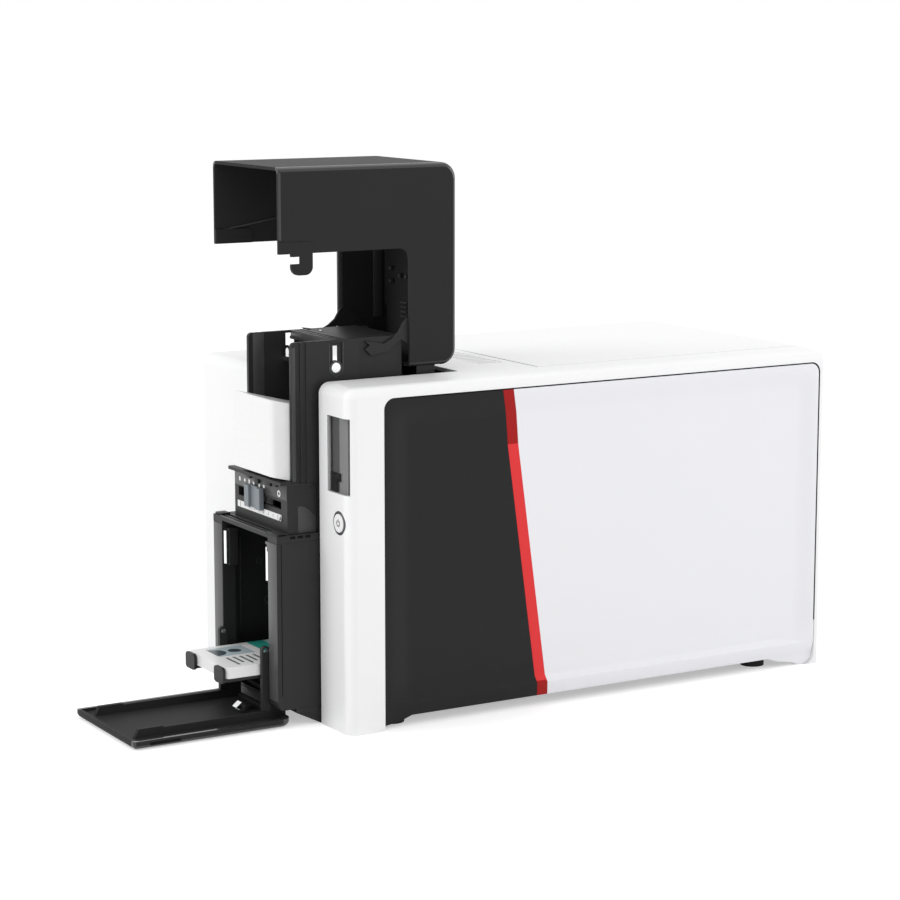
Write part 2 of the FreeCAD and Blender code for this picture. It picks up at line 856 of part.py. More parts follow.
# Slots in the leg's lower wall let the hinge plates of the chassis in
chassis_right = inner_right - D.hinge_arm_thickness - D.chassis_gap
chassis_left = inner_left + D.hinge_arm_thickness + D.chassis_gap
slot_width = D.hinge_arm_thickness + D.chassis_thickness + D.hinge_pin_head + D.chassis_gap * 3
slot_y_span = (leg_front - over, hinge_y + D.cover_radius)
slot_z_span = (leg_bottom - over, leg_bottom + D.cover_wall * 2)
right_slot = box("right_slot", (inner_right - slot_width, inner_right), slot_y_span, slot_z_span)
left_slot = box("left_slot", (inner_left, inner_left + slot_width), slot_y_span, slot_z_span)
cover_channel = cut("cover_channel", cover_block, cover_space, right_slot, left_slot)
cover_middle = (inner_left + inner_right) / 2
rib_span = (leg_back - D.cover_wall - D.rib_depth, leg_back - D.cover_wall)
rib_rise = (leg_bottom + D.cover_radius, cover_top - D.cover_radius)
cover_parts = [cover_channel]
for number, place in enumerate((cover_middle - D.card_width / 4, cover_middle + D.card_width / 4)):
    cover_parts.append(box(f"cover_rib_{number}", around(place, D.rib_width), rib_span, rib_rise))
tab_end = cover_front + D.cover_tab_length
tab_top = arm_bottom + D.cover_tab_height
cover_tab = box("cover_tab", (inner_left, inner_left + D.cover_tab_thickness), (cover_front, tab_end),
                (arm_bottom, tab_top))


def is_corner_at(y, z):
    """A test for the edge along X at one place."""
    return lambda edge: along(edge, "x") and on(edge, "y", y) and on(edge, "z", z)


cover_tab = rounded("cover_tab_rounded", cover_tab, D.cover_tab_radius, is_corner_at(tab_end, tab_top))
cover_parts.append(cover_tab)
piece("cover_shell", fuse("cover", *cover_parts))

# Hook under the right wall of the arm, on a thin plate that laps the wall's outer face

hook_start = cover_front + D.cover_hook_start
hook_end = hook_start + D.cover_hook_width
hook_bottom = arm_bottom - D.cover_hook_drop
notch_top = arm_bottom - D.cover_hook_finger
notch_bottom = notch_top - D.cover_hook_notch
plate_top = arm_bottom + D.hook_plate_height
hook_outer = cover_right + D.hook_plate_proud
hook_plate = box("hook_plate", (cover_right, hook_outer), (cover_front, hook_end), (arm_bottom, plate_top))
hook_plate = rounded("hook_plate_rounded", hook_plate, D.hook_plate_radius,
                     is_corner_at(hook_end, plate_top))
hook_blade = profile("hook_blade", "x", [
    (hook_start, arm_bottom),
    (hook_start, notch_top),
    (hook_start + D.cover_hook_throat, notch_top),
    (hook_start + D.cover_hook_throat, notch_bottom),
    (hook_start, notch_bottom),
    (hook_start, hook_bottom),
    (hook_end, hook_bottom),
    (hook_end, arm_bottom)], (inner_right, hook_outer))
hook_blade = rounded("hook_blade_rounded", hook_blade, D.cover_hook_radius,
                     lambda edge: along(edge, "x") and on(edge, "z", hook_bottom))
piece("cover_hook", fuse("hook", hook_plate, hook_blade))

# Hinge arms: fixed inside the cover's walls, each turns on a pin held by the chassis
# The arm's outline in shares of its reach in front of the pin and of its rise above the pin
arm_shares = (
    (1, 0.29), (0.92, 0.14), (1, 0.02), (0.9, -0.22), (0.65, -0.13), (0.42, 0.26), (0.3, 0.08),
    (0.1, -0.38), (0, -0.38), (0, 0.38), (0.2, 0.9), (0.32, 0.99), (0.38, 0.84), (0.46, 0.52),
    (0.56, 0.33), (0.7, 0.16), (0.86, 0.24))


def hinge_arm(name, low, high):
    outline = [(hinge_y - D.hinge_arm_reach * reach_share, hinge_z + D.hinge_arm_rise * rise_share)
               for reach_share, rise_share in arm_shares]
    blade = profile(f"{name}_blade", "x", outline, (low, high))
    hub = rod(f"{name}_hub", "x", (hinge_y, hinge_z), (low, high), D.hinge_hub_radius)
    hole_span = grown((low, high), over)
    hole = rod(f"{name}_hole", "x", (hinge_y, hinge_z), hole_span, D.hinge_pin_radius + D.run_gap)
    return cut(name, fuse(f"{name}_solid", blade, hub), hole)


arms = doc.addObject("Part::Compound", "arms")
arms.Links = [hinge_arm("hinge_arm_right", inner_right - D.hinge_arm_thickness, inner_right),
              hinge_arm("hinge_arm_left", inner_left, inner_left + D.hinge_arm_thickness)]
piece("hinge_arms", arms)

# Chassis: a base pan with a chin under the hopper, and two side plates with ears for the cover's pins

base_x = side - D.side_wall - D.fit_gap
hopper_left = cover_left
hopper_right = cover_right
base_front = front + D.housing_wall + D.fit_gap
base_y = (base_front, rear_front - D.fit_gap)
base_block = box("base_block", (-base_x, base_x), base_y, (D.base_height, base_top))
sill_front = front + D.fit_gap
sill = box("sill", grown((bay_left, bay_right), -D.fit_gap), (sill_front, base_front), (ZERO, base_top))
flap_y = front - D.flap_hinge_reach
chin_front = flap_y + D.flap_hub_radius * math.sqrt(2) + D.fit_gap
chin = profile("chin", "x", [
    (sill_front, ZERO),
    (sill_front, base_top),
    (chin_front, base_top),
    (chin_front, D.base_height)], (hopper_left, hopper_right))
column_slots = []
bay_walls = ((bay_left - D.housing_wall, bay_left), (bay_right, bay_right + D.housing_wall))
for number, wall_span in enumerate(bay_walls):
    column_slots.append(box(f"column_slot_{number}", grown(wall_span, D.fit_gap),
                            (front - over, bay_end + D.fit_gap), (-over, base_top + over)))
piece("base_pan", fuse("base", cut("base_cleared", base_block, *column_slots), sill, chin))

plate_front = front + D.chassis_front_length
plate_rear = rear_front - D.chassis_rear_gap
ear_low = hinge_y - D.chassis_ear_length / 2
ear_high = hinge_y + D.chassis_ear_length / 2
ear_top = hinge_z + D.chassis_ear_length / 2
roller_places = {
    "transport_front": (front + D.transport_front_length, path_height - D.roller_radius),
    "platen": (front + D.platen_length, path_height - D.roller_radius),
    "transport_rear": (front + D.transport_rear_length, path_height - D.roller_radius),
}
supply = (front + D.supply_length, ribbon_height)
takeup = (front + D.takeup_length, ribbon_height)


motor_axis = (front + D.motor_axis_length, D.motor_axis_height)


def chassis_plate(name, low, high, more):
    plate = profile(f"{name}_sheet", "x", [
        (plate_front, base_top),
        (plate_rear, base_top),
        (plate_rear, chassis_top),
        (ear_high, chassis_top),
        (ear_high, ear_top),
        (ear_low, ear_top),
        (ear_low, chassis_top),
        (plate_front, chassis_top)], (low, high))
    through = (low - over, high + over)
    holes = [rod(f"{name}_{key}", "x", place, through, D.shaft_radius + D.bearing_gap)
             for key, place in roller_places.items()]
    holes.append(rod(f"{name}_pin_hole", "x", (hinge_y, hinge_z), through, D.hinge_pin_radius))
    for key, place in (("supply", supply), ("takeup", takeup)):
        holes.append(rod(f"{name}_{key}", "x", place, through, D.spool_pin_radius + D.bearing_gap))
    for key, place in more.items():
        holes.append(rod(f"{name}_{key}", "x", place, through, D.motor_shaft_radius + D.fit_gap))
    return cut(name, plate, *holes)


right_plate_span = (chassis_right - D.chassis_thickness, chassis_right)
left_plate_span = (chassis_left, chassis_left + D.chassis_thickness)
piece("chassis_right_plate", chassis_plate("chassis_right", *right_plate_span, {"motor": motor_axis}))

board_back = plate_rear - D.board_rear_gap
board_y = (board_back - D.board_length, board_back)
board_z = (D.board_bottom, D.board_bottom + D.board_height)
board_x = (chassis_left - D.board_standoff - D.board_thickness, chassis_left - D.board_standoff)
standoffs = []
stud_rows = grown(board_y, -D.standoff_inset)
stud_levels = grown(board_z, -D.standoff_inset)
for number, place in enumerate((y, z) for y in stud_rows for z in stud_levels):
    standoffs.append(rod(f"standoff_{number}", "x", place, (board_x[1], chassis_left), D.standoff_radius))
left_plate = chassis_plate("chassis_left", *left_plate_span, {})
piece("chassis_left_plate", fuse("left_side", left_plate, *standoffs))


def hinge_pin(name, shank, head):
    """A pin that is riveted in a side plate, with its head on the plate's inner face."""
    place = (hinge_y, hinge_z)
    return fuse(name, rod(f"{name}_shank", "x", place, shank, D.hinge_pin_radius),
                rod(f"{name}_head", "x", place, head, D.hinge_pin_head_radius))


right_face = right_plate_span[0]
left_face = left_plate_span[1]
pins = doc.addObject("Part::Compound", "pins")
right_head = (right_face - D.hinge_pin_head, right_face)
left_head = ahead(left_face, D.hinge_pin_head)
pins.Links = [hinge_pin("right_pin", (right_face, inner_right - D.run_gap), right_head),
              hinge_pin("left_pin", (inner_left + D.run_gap, left_face), left_head)]
piece("cover_hinge_pins", pins)

# Rubber feet under the base

pad_x = side - D.pad_side_inset
pads = []
pad_rows = (front + D.pad_front_length, back - D.pad_rear_margin)
for number, (x, y) in enumerate((x, y) for x in (-pad_x, pad_x) for y in pad_rows):
    pads.append(rod(f"pad_{number}", "z", (x, y), (ZERO, D.base_height), D.pad_radius))
pad_group = doc.addObject("Part::Compound", "pad_group")
pad_group.Links = pads
piece("rubber_feet", pad_group)

# Card feeder: two walls, a sloping floor, a back wall and a deck

feeder_front = front - D.feeder_front_reach
feeder_right = inner_right - D.feeder_side_gap
magazine_right = feeder_right - D.feeder_wall
magazine_left = magazine_right - D.card_width - D.card_play
feeder_left = magazine_left - D.feeder_wall
feeder_back = plate_front - D.fit_gap
feeder_floor_back = feeder_back - D.feeder_wall
step_y = front + D.feeder_step_length
slot_y = front + D.slot_length
magazine_middle = (magazine_left + magazine_right) / 2
magazine_inside = (magazine_left + D.run_gap, magazine_right - D.run_gap)
slope_angle = math.radians(D.feeder_slope.value)
slope_share = math.tan(slope_angle)


def feeder_wall(name, inner, outer, thin, slot_span, slot_rise):
    """A wall beside the cards: thick in front, thin behind, with two upright grooves on its outer face."""
    sign = 1 if outer.value > inner.value else -1
    thick = profile(f"{name}_thick", "x", [
        (feeder_front, feeder_bottom),
        (front + D.fit_gap, feeder_bottom),
        (front + D.fit_gap, hopper_top),
        (step_y, hopper_top),
        (step_y, feeder_top),
        (feeder_front, feeder_top)], (inner, outer))

    def front_top(edge):
        return along(edge, "x") and on(edge, "y", feeder_front) and on(edge, "z", feeder_top)

    thick = rounded(f"{name}_thick_rounded", thick, D.feeder_wall, front_top)
    surface = (outer - D.feeder_ridge_depth * sign, outer + over * sign)
    groove_starts = (feeder_front + D.feeder_ridge_width, feeder_front + D.feeder_ridge_width * 2)
    grooves = [box(f"{name}_groove_{number}", surface, ahead(start, D.feeder_ridge_width / 2),
                   (feeder_bottom, feeder_top + over))
               for number, start in enumerate(groove_starts)]
    rear_x = (inner, inner + thin * sign)
    rear = box(f"{name}_thin", rear_x, (step_y, feeder_back), (hopper_top, feeder_top))
    slot = box(f"{name}_slot", (inner - over * sign, outer + over * sign), slot_span, slot_rise)
    recess_low = slot_bottom - D.slot_recess_margin
    recess = box(f"{name}_recess", (outer - D.slot_recess_depth * sign, outer + over * sign),
                 around(slot_y, D.slot_recess_margin * 2), (recess_low, feeder_top - D.deck_thickness))
    recess = rounded(f"{name}_recess_rounded", recess, D.slot_recess_radius,
                     lambda edge: along(edge, "x") and on(edge, "z", recess_low))
    return cut(name, fuse(f"{name}_solid", thick, rear), slot, recess, *grooves)


# The left wall's slot is wider and higher than the pin in it needs, so the stack can be seen from the side
pin_slot = around(slot_y, D.slot_width)
wide_slot = (pin_slot[0] - D.slot_widening, pin_slot[1])
pin_rise = ahead(slot_bottom, D.slot_height)
wide_rise = ahead(slot_bottom, D.wide_slot_height)
piece("feeder_right_wall", feeder_wall("right_wall", magazine_right, feeder_right, D.feeder_thin_wall,
                                       pin_slot, pin_rise))
piece("feeder_left_wall", feeder_wall("left_wall", magazine_left, feeder_left, D.feeder_wall,
                                      wide_slot, wide_rise))


def sloping(name, y_low, y_high, top, thickness, span):
    """A plate or stack that falls towards the rear at the feeder's slope."""
    drop = (y_high - y_low) * slope_share
    return profile(name, "x", [
        (y_low, top - thickness),
        (y_high, top - thickness - drop),
        (y_high, top - drop),
        (y_low, top)], span)


def floor_at(y):
    """The height of the feeder's floor at a distance from the front."""
    return blank_bottom - (y - blank_front) * slope_share


blank_front = front - D.blank_overhang
card_run = D.card_length * math.cos(slope_angle)
blank_left = magazine_middle - D.card_width / 2
blank_top = blank_bottom + D.blank_stack_height
piece("blank_cards", sloping("blanks", blank_front, blank_front + card_run, blank_top, D.blank_stack_height,
                             ahead(blank_left, D.card_width)))
floor_top = floor_at(feeder_front) - D.fit_gap
floor_slab = sloping("floor_slab", feeder_front, feeder_back, floor_top, D.floor_thickness, magazine_inside)
feed_y = front + D.feed_roller_length
feed_z = floor_at(feed_y) - (D.feed_roller_radius + D.fit_gap) / math.cos(slope_angle)
roller_room = D.feed_roller_width + D.fit_gap * 4
roller_slot = box("roller_slot", around(magazine_middle, roller_room),
                  around(feed_y, D.feed_roller_radius * 2), (hopper_top, feeder_top))
piece("feeder_floor", cut("feeder_floor_cut", floor_slab, roller_slot))
deck_front = front + D.deck_front_length
deck_low = feeder_top - D.deck_thickness
piece("feeder_back_wall", box("feeder_back", magazine_inside, (feeder_floor_back, feeder_back),
                              (floor_at(feeder_floor_back) + D.gate_height, deck_low - D.run_gap)))
deck = profile("deck", "x", [
    (deck_front, deck_low - D.deck_drop),
    (deck_front + D.deck_lip, deck_low),
    (feeder_back, deck_low),
    (feeder_back, feeder_top),
    (deck_front + D.deck_lip, feeder_top),
    (deck_front, feeder_top - D.deck_drop)], magazine_inside)
piece("feeder_deck", deck)

# Card weight: a bar between the walls whose pin slides in the two slots, with a round head outside

weight_bar = box("weight_bar", grown((magazine_left, magazine_right), -D.fit_gap),
                 around(slot_y, D.weight_bar_length), around(weight_height, D.weight_bar_height))
weight_end = feeder_right - D.run_gap
head_start = feeder_right - D.slot_recess_depth + D.run_gap
weight_centre = (slot_y, weight_height)
weight_pin = rod("weight_pin", "x", weight_centre, (feeder_left, weight_end), D.weight_pin_radius)
weight_head = rod("weight_head", "x", weight_centre, (head_start, weight_end), D.weight_head_radius)
piece("card_weight", fuse("weight", weight_bar, weight_pin, weight_head))

# Feed roller under the stack, its shaft in two saddles that stand on the hopper's roof

feed_tyre = rod("feed_tyre", "x", (feed_y, feed_z), around(magazine_middle, D.feed_roller_width),
                D.feed_roller_radius)
saddle_inner = D.feed_roller_width / 2 + D.shaft_overhang
saddle_outer = saddle_inner + D.shaft_overhang
feed_shaft = rod("feed_shaft", "x", (feed_y, feed_z), around(magazine_middle, saddle_outer * 2),
                 D.feed_shaft_radius)
piece("feed_roller", fuse("feed", feed_tyre, feed_shaft))
saddles = []
for number, (low, high) in enumerate(((-saddle_outer, -saddle_inner), (saddle_inner, saddle_outer))):
    saddles.append(box(f"saddle_{number}", (magazine_middle + low, magazine_middle + high),
                       around(feed_y, D.feed_shaft_radius * 4),
                       (hopper_top, feed_z + D.feed_shaft_radius)))
saddle_hole = rod("saddle_hole", "x", (feed_y, feed_z), (magazine_left, magazine_right),
                  D.feed_shaft_radius + D.bearing_gap)

# Thickness gauge below the feeder, with a lip over it and a sloping seat for the feeder's floor

gauge_front = front - D.gauge_reach
gauge_right = feeder_right
gauge_left = gauge_right - D.gauge_width
gauge_low = hopper_top
gauge_high = feeder_bottom
seat_front = floor_at(feeder_front) - D.fit_gap - D.floor_thickness - D.run_gap
seat_back = floor_at(front + over) - D.fit_gap - D.floor_thickness - D.run_gap
gauge_block = box("gauge_block", (gauge_left, gauge_right), (gauge_front, front), (gauge_low, gauge_high))
lip = box("gauge_lip", (gauge_left, gauge_right), (front - D.gauge_lip_reach, feeder_front - D.fit_gap),
          (gauge_high, gauge_high + D.gauge_lip_thickness))
gauge_seat = profile("gauge_seat", "x", [
    (feeder_front, seat_front),
    (front + over, seat_back),
    (front + over, gauge_high + over),
    (feeder_front, gauge_high + over)], (magazine_left, magazine_right))
gauge_hollow = box("gauge_hollow", (gauge_left + D.gauge_wall, gauge_right - D.gauge_wall),
                   (gauge_front + D.gauge_wall, front + over), (gauge_low - over, seat_back - D.gauge_wall))
through_face = (gauge_front - over, gauge_front + D.gauge_wall + over)
slot_x = (gauge_left + D.gauge_slot_left, gauge_right - D.gauge_slot_right)
slot_z = ahead(gauge_low + D.gauge_slot_bottom, D.gauge_slot_height)
gauge_slot = box("gauge_slot", slot_x, through_face, slot_z)
gauge_hole = box("gauge_hole", ahead(gauge_left + D.gauge_hole_left, D.gauge_hole_width), through_face,
                 ahead(gauge_low + D.gauge_hole_bottom, D.gauge_hole_height))
gauge_solid = fuse("gauge_solid", gauge_block, lip)
piece("gauge_housing", cut("gauge", gauge_solid, gauge_seat, gauge_hollow, gauge_slot, gauge_hole))

knob_left = gauge_left + D.gauge_knob_left
knob_right = knob_left + D.gauge_knob_width
knob_z = ahead(slot_z[0] - D.gauge_knob_drop, D.gauge_knob_height)
knob_back = gauge_front - D.gauge_strip_thickness - D.run_gap
knob_face = knob_back - D.gauge_knob_proud
knob_plate = box("knob_plate", (knob_left, knob_right), (knob_face, knob_back), knob_z)
rib_y = (knob_face - D.gauge_rib_proud, knob_face)
knob_ribs = [box(f"knob_rib_{number}", ahead(place, D.gauge_knob_rib), rib_y, knob_z)
             for number, place in enumerate((knob_left, knob_right - D.gauge_knob_rib))]
knob_tongue = box("knob_tongue", grown((knob_left, knob_right), -D.gauge_knob_rib),
                  (knob_back, gauge_front + D.gauge_wall * 2), grown(slot_z, -D.run_gap))
piece("gauge_slider", fuse("slider", knob_plate, *knob_ribs, knob_tongue))
strip_left = gauge_left + D.gauge_strip_left
strip_low = gauge_low + D.gauge_strip_bottom
piece("gauge_scale_strip", box("scale_strip", (strip_left, strip_left + D.gauge_strip_width),
                               (gauge_front - D.gauge_strip_thickness, gauge_front),
                               (strip_low, strip_low + D.gauge_strip_height)))

# Output hopper: a deep box, open at the front, with a post at each side of the opening

hopper_front = front - D.hopper_front_reach
hopper_back = plate_front - D.fit_gap
opening_left = hopper_left + D.hopper_post
opening_right = hopper_right - D.hopper_post
roof_low = hopper_top - D.ledge_height
hopper_x = (hopper_left, hopper_right)
hopper_y = (hopper_front, hopper_back)
hopper_block = box("hopper_block", hopper_x, hopper_y, (base_top, roof_low))
hopper_block = rounded("hopper_block_rounded", hopper_block, D.hopper_corner_radius,
                       is_corner_at(hopper_front, base_top))
hopper_cavity = box("hopper_cavity", (hopper_left + D.hopper_wall, hopper_right - D.hopper_wall),
                    (hopper_front + D.hopper_post_depth, hopper_back - D.hopper_wall),
                    (base_top + D.hopper_wall, roof_low + over))
hopper_mouth = box("hopper_mouth", (opening_left, opening_right),
                   grown(ahead(hopper_front, D.hopper_post_depth), over), grown((base_top, roof_low), over))
flap_z = D.flap_hinge_height
lever_right = opening_right - D.lever_gap
lever_left = opening_left + D.lever_gap
rail_spans = ((lever_left, lever_left + D.flap_rail_width), (lever_right - D.flap_rail_width, lever_right))
pin_depth = D.hopper_post / 2
pin_spans = ((opening_left - pin_depth, rail_spans[0][1]), (rail_spans[1][0], opening_right + pin_depth))
pin_sockets = [rod(f"pin_socket_{number}", "x", (flap_y, flap_z), span, D.flap_pin_radius)
               for number, span in enumerate(pin_spans)]
piece("hopper_shell", cut("hopper", hopper_block, hopper_cavity, hopper_mouth, *pin_sockets))

roof_plate = box("roof_plate", hopper_x, hopper_y, (roof_low, hopper_top))
gutter_y = grown((hopper_front, gauge_front), -D.ledge_rim)
roof_gutter = box("roof_gutter", grown(hopper_x, -D.ledge_rim * 3), gutter_y,
                  (hopper_top - D.ledge_rim, hopper_top + over))
recess_y = grown(ahead(hopper_front, D.hopper_post_depth), over)
roof_recess = box("roof_recess", (opening_left, opening_right), recess_y,
                  (roof_low - over, hopper_top - D.ledge_rim * 2))
roof_solid = fuse("roof_solid", roof_plate, *saddles)
piece("hopper_roof", cut("roof", roof_solid, roof_gutter, roof_recess, saddle_hole))

# Upright steel catch rods for the door, each in a black holder behind it

rod_bottom = hopper_top - D.rod_height - D.rod_drop
rods = []
holders = []
rod_y = hopper_front + D.rod_radius
rod_z = ahead(rod_bottom, D.rod_height)
for number, rod_x in enumerate(grown((opening_left, opening_right), -D.rod_holder_width / 2)):
    rods.append(rod(f"catch_rod_{number}", "z", (rod_x, rod_y), rod_z, D.rod_radius))
    holders.append(box(f"rod_holder_{number}", around(rod_x, D.rod_holder_width),
                       ahead(rod_y + D.rod_radius, D.rod_holder_depth), grown(rod_z, D.rod_radius)))
rod_group = doc.addObject("Part::Compound", "rod_group")
rod_group.Links = rods
piece("catch_rods", rod_group)
holder_group = doc.addObject("Part::Compound", "holder_group")
holder_group.Links = holders
piece("catch_rod_holders", holder_group)

# Hopper door, open and almost level, with two rails that end in catch blocks

flap_front = front - D.flap_reach
flap_back = flap_y + D.flap_hub_radius
flap_low = D.flap_floor
flap_high = flap_low + D.flap_thickness
door_block = box("door_block", hopper_x, (flap_front, flap_back), ahead(flap_low, D.flap_rim_height))


def upright_at(place):
    return lambda edge: along(edge, "z") and on(edge, "y", place)


door_slab = rounded("door_front_rounded", door_block, D.flap_radius, upright_at(flap_front))
door_slab = rounded("door_rear_rounded", door_slab, D.flap_rear_radius, upright_at(flap_back))
door_slab = rounded("door_slab", door_slab, D.flap_edge_radius, lambda edge: on(edge, "z", flap_low))
door_hollow = box("door_hollow", grown(hopper_x, -D.flap_rim), grown((flap_front, flap_back), -D.flap_rim),
                  (flap_high, flap_low + D.flap_rim_height + over))
door_parts = [cut("door_tray", door_slab, door_hollow)]
block_front = flap_front + D.flap_boss_start
block_back = block_front + D.flap_boss_length
knuckle_y = around(flap_y, D.flap_hub_radius * 2)
knuckle_z = (flap_high, flap_z + D.flap_hub_radius)
rail_y = (block_front + D.flap_boss_slope, flap_y)
for number, span in enumerate(rail_spans):
    door_parts.append(box(f"rail_{number}", span, rail_y, (flap_low, D.flap_rail_height)))
    door_parts.append(profile(f"catch_block_{number}", "x", [
        (block_front, flap_low),
        (block_front + D.flap_boss_slope, D.flap_boss_height),
        (block_back, D.flap_boss_height),
        (block_back, flap_low)], span))
    door_parts.append(box(f"knuckle_{number}", span, knuckle_y, knuckle_z))
door_hole = rod("door_pin_hole", "x", (flap_y, flap_z), hopper_x, D.flap_pin_radius + D.run_gap)
piece("hopper_flap", cut("flap", fuse("flap_solid", *door_parts), door_hole))

spring_left = hopper_left + D.spring_left
spring_back = flap_y - D.spring_start
piece("flap_spring", profile("spring_leaf", "x", [
    (spring_back, flap_high),
    (spring_back - D.spring_length, flap_high + D.spring_height - D.spring_thickness),
    (spring_back - D.spring_length, flap_high + D.spring_height),
    (spring_back, flap_high + D.spring_thickness)], (spring_left, spring_left + D.spring_width)))

# Levers that stand on the door's rails before its knuckles, each with an eye at its top

levers = []
lever_y = (flap_y - D.flap_hub_radius - D.lever_depth, flap_y - D.flap_hub_radius)
lever_top = flap_z + D.lever_height


def lever_end(edge):
    return along(edge, "x") and on(edge, "z", lever_top)


for number, (low, high) in enumerate(rail_spans):
    blade = box(f"lever_blade_{number}", (low, high), lever_y, (D.flap_rail_height, lever_top))
    blade = rounded(f"lever_round_{number}", blade, D.lever_depth * 0.45, lever_end)
    eye = rod(f"lever_eye_{number}", "x", ((lever_y[0] + lever_y[1]) / 2, lever_top - D.lever_depth / 2),
              (low - over, high + over), D.lever_eye_radius)
    levers.append(cut(f"lever_{number}", blade, eye))
lever_group = doc.addObject("Part::Compound", "lever_group")
lever_group.Links = levers
piece("flap_levers", lever_group)

door_pin_group = doc.addObject("Part::Compound", "door_pin_group")
door_pin_group.Links = [rod(f"door_pin_{number}", "x", (flap_y, flap_z), span, D.flap_pin_radius)
                        for number, span in enumerate(pin_spans)]
piece("flap_hinge_pins", door_pin_group)

# Card tray: two prongs with clips in front, on two runners, carrying the printed cards

tray_front = front - D.tray_front_reach
hopper_middle = (hopper_left + hopper_right) / 2
tray_left = hopper_middle - D.card_width / 2
tray_right = hopper_middle + D.card_width / 2
cards_front = tray_front + D.clip_thickness + D.clip_play
tray_back = cards_front + D.card_length
tray_top = D.tray_height + D.tray_thickness
tray_plate = box("tray_plate", (tray_left, tray_right), (tray_front, tray_back), (D.tray_height, tray_top))
notch_y = (tray_front - over, tray_front + D.tray_notch_length)
tray_notch = box("tray_notch", grown((tray_left, tray_right), -D.tray_prong_width), notch_y,
                 grown((D.tray_height, tray_top), over))
tray_parts = [cut("tray_forked", tray_plate, tray_notch)]
for number, place in enumerate((tray_left, tray_right - D.tray_prong_width)):
    clip = box(f"clip_{number}", ahead(place, D.tray_prong_width), ahead(tray_front, D.clip_thickness),
               (D.tray_height - D.clip_drop, tray_top + D.printed_stack_height))
    tray_parts.append(rounded(f"clip_round_{number}", clip, D.clip_radius, lambda edge: along(edge, "y")))
runner_places = (tray_left + D.tray_runner_inset, tray_right - D.tray_runner_inset - D.tray_runner_width)
for number, place in enumerate(runner_places):
    tray_parts.append(box(f"tray_runner_{number}", ahead(place, D.tray_runner_width),
                          (tray_back - D.tray_runner_length, tray_back),
                          (base_top + D.hopper_wall + D.run_gap, D.tray_height)))
piece("card_tray", fuse("tray", *tray_parts))
piece("printed_cards", box("printed_stack", (tray_left, tray_right), (cards_front, tray_back),
                           (tray_top, tray_top + D.printed_stack_height)))

# Card transport: three rubber rollers on steel shafts that run in the side plates, and a guide between them

lane_near = ahead(chassis_right + D.pulley_gap, D.pulley_width)
lane_far = ahead(lane_near[1] + D.pulley_gap, D.pulley_width)


def roller(name, place, lanes):
    tyre = rod(f"{name}_tyre", "x", place, around(magazine_middle, D.roller_width), D.roller_radius)
    shaft_span = (chassis_left - D.shaft_overhang / 2, lanes[-1][1])
    shaft = rod(f"{name}_shaft", "x", place, shaft_span, D.shaft_radius)
    pulleys = [rod(f"{name}_pulley_{number}", "x", place, lane, D.pulley_radius)
               for number, lane in enumerate(lanes)]
    return fuse(name, tyre, shaft, *pulleys)


piece("front_transport_roller", roller("front_roller", roller_places["transport_front"], [lane_near]))
piece("platen_roller", roller("platen", roller_places["platen"], [lane_near]))
rear_roller = roller("rear_roller", roller_places["transport_rear"], [lane_near, lane_far])
piece("rear_transport_roller", rear_roller)

between_plates = (left_plate_span[1] + D.run_gap, right_plate_span[0] - D.run_gap)
guide_y = (front + D.guide_front_length, plate_rear - D.guide_rear_gap)
guide_z = (path_height - D.guide_thickness, path_height)
guide_plate = box("guide_plate", between_plates, guide_y, guide_z)
guide_slots = []
for key in ("platen", "transport_rear"):
    guide_slots.append(box(f"guide_slot_{key}", around(magazine_middle, D.roller_width + D.fit_gap * 4),
                           around(roller_places[key][0], D.guide_slot), grown(guide_z, over)))
piece("card_guide", cut("guide", guide_plate, *guide_slots))

# Print head over the platen, held in a bracket that lets it lift

head_y = roller_places["platen"][0]
head_low = path_height + D.head_gap
head_top = head_low + D.head_height
head_x = (magazine_middle - D.card_width / 2, magazine_middle + D.card_width / 2)
half_head = D.head_length / 2
piece("print_head", profile("head_block", "x", [
    (head_y - D.head_edge / 2, head_low),
    (head_y + D.head_edge / 2, head_low),
    (head_y + half_head, head_low + half_head),
    (head_y + half_head, head_top),
    (head_y - half_head, head_top),
    (head_y - half_head, head_low + half_head)], head_x))
bracket_low = head_top - D.head_bracket_height / 2
head_y_span = around(head_y, D.head_length)
bracket = box("bracket", between_plates, grown(head_y_span, D.head_bracket_wall),
              ahead(bracket_low, D.head_bracket_height))
bracket_room = box("bracket_room", grown(head_x, D.run_gap), grown(head_y_span, D.run_gap),
                   (bracket_low - over, head_top + D.head_lift + D.fit_gap))
piece("print_head_bracket", cut("head_bracket", bracket, bracket_room))


# Ribbon spools between the side plates

def spool(name, place, film_radius):
    core_span = (left_plate_span[1] + D.fit_gap, right_plate_span[0] - D.fit_gap)
    pin_span = grown((chassis_left, chassis_right), D.chassis_gap)
    core = rod(f"{name}_core", "x", place, core_span, D.ribbon_core_radius)
    film = rod(f"{name}_film", "x", place, head_x, film_radius)
    pin = rod(f"{name}_pin", "x", place, pin_span, D.spool_pin_radius)
    return fuse(name, core, film, pin)


piece("ribbon_supply_spool", spool("supply_spool", supply, D.ribbon_supply_radius))
piece("ribbon_takeup_spool", spool("takeup_spool", takeup, D.ribbon_takeup_radius))

# Drive: a motor on the right plate, its pulley and two smooth belts

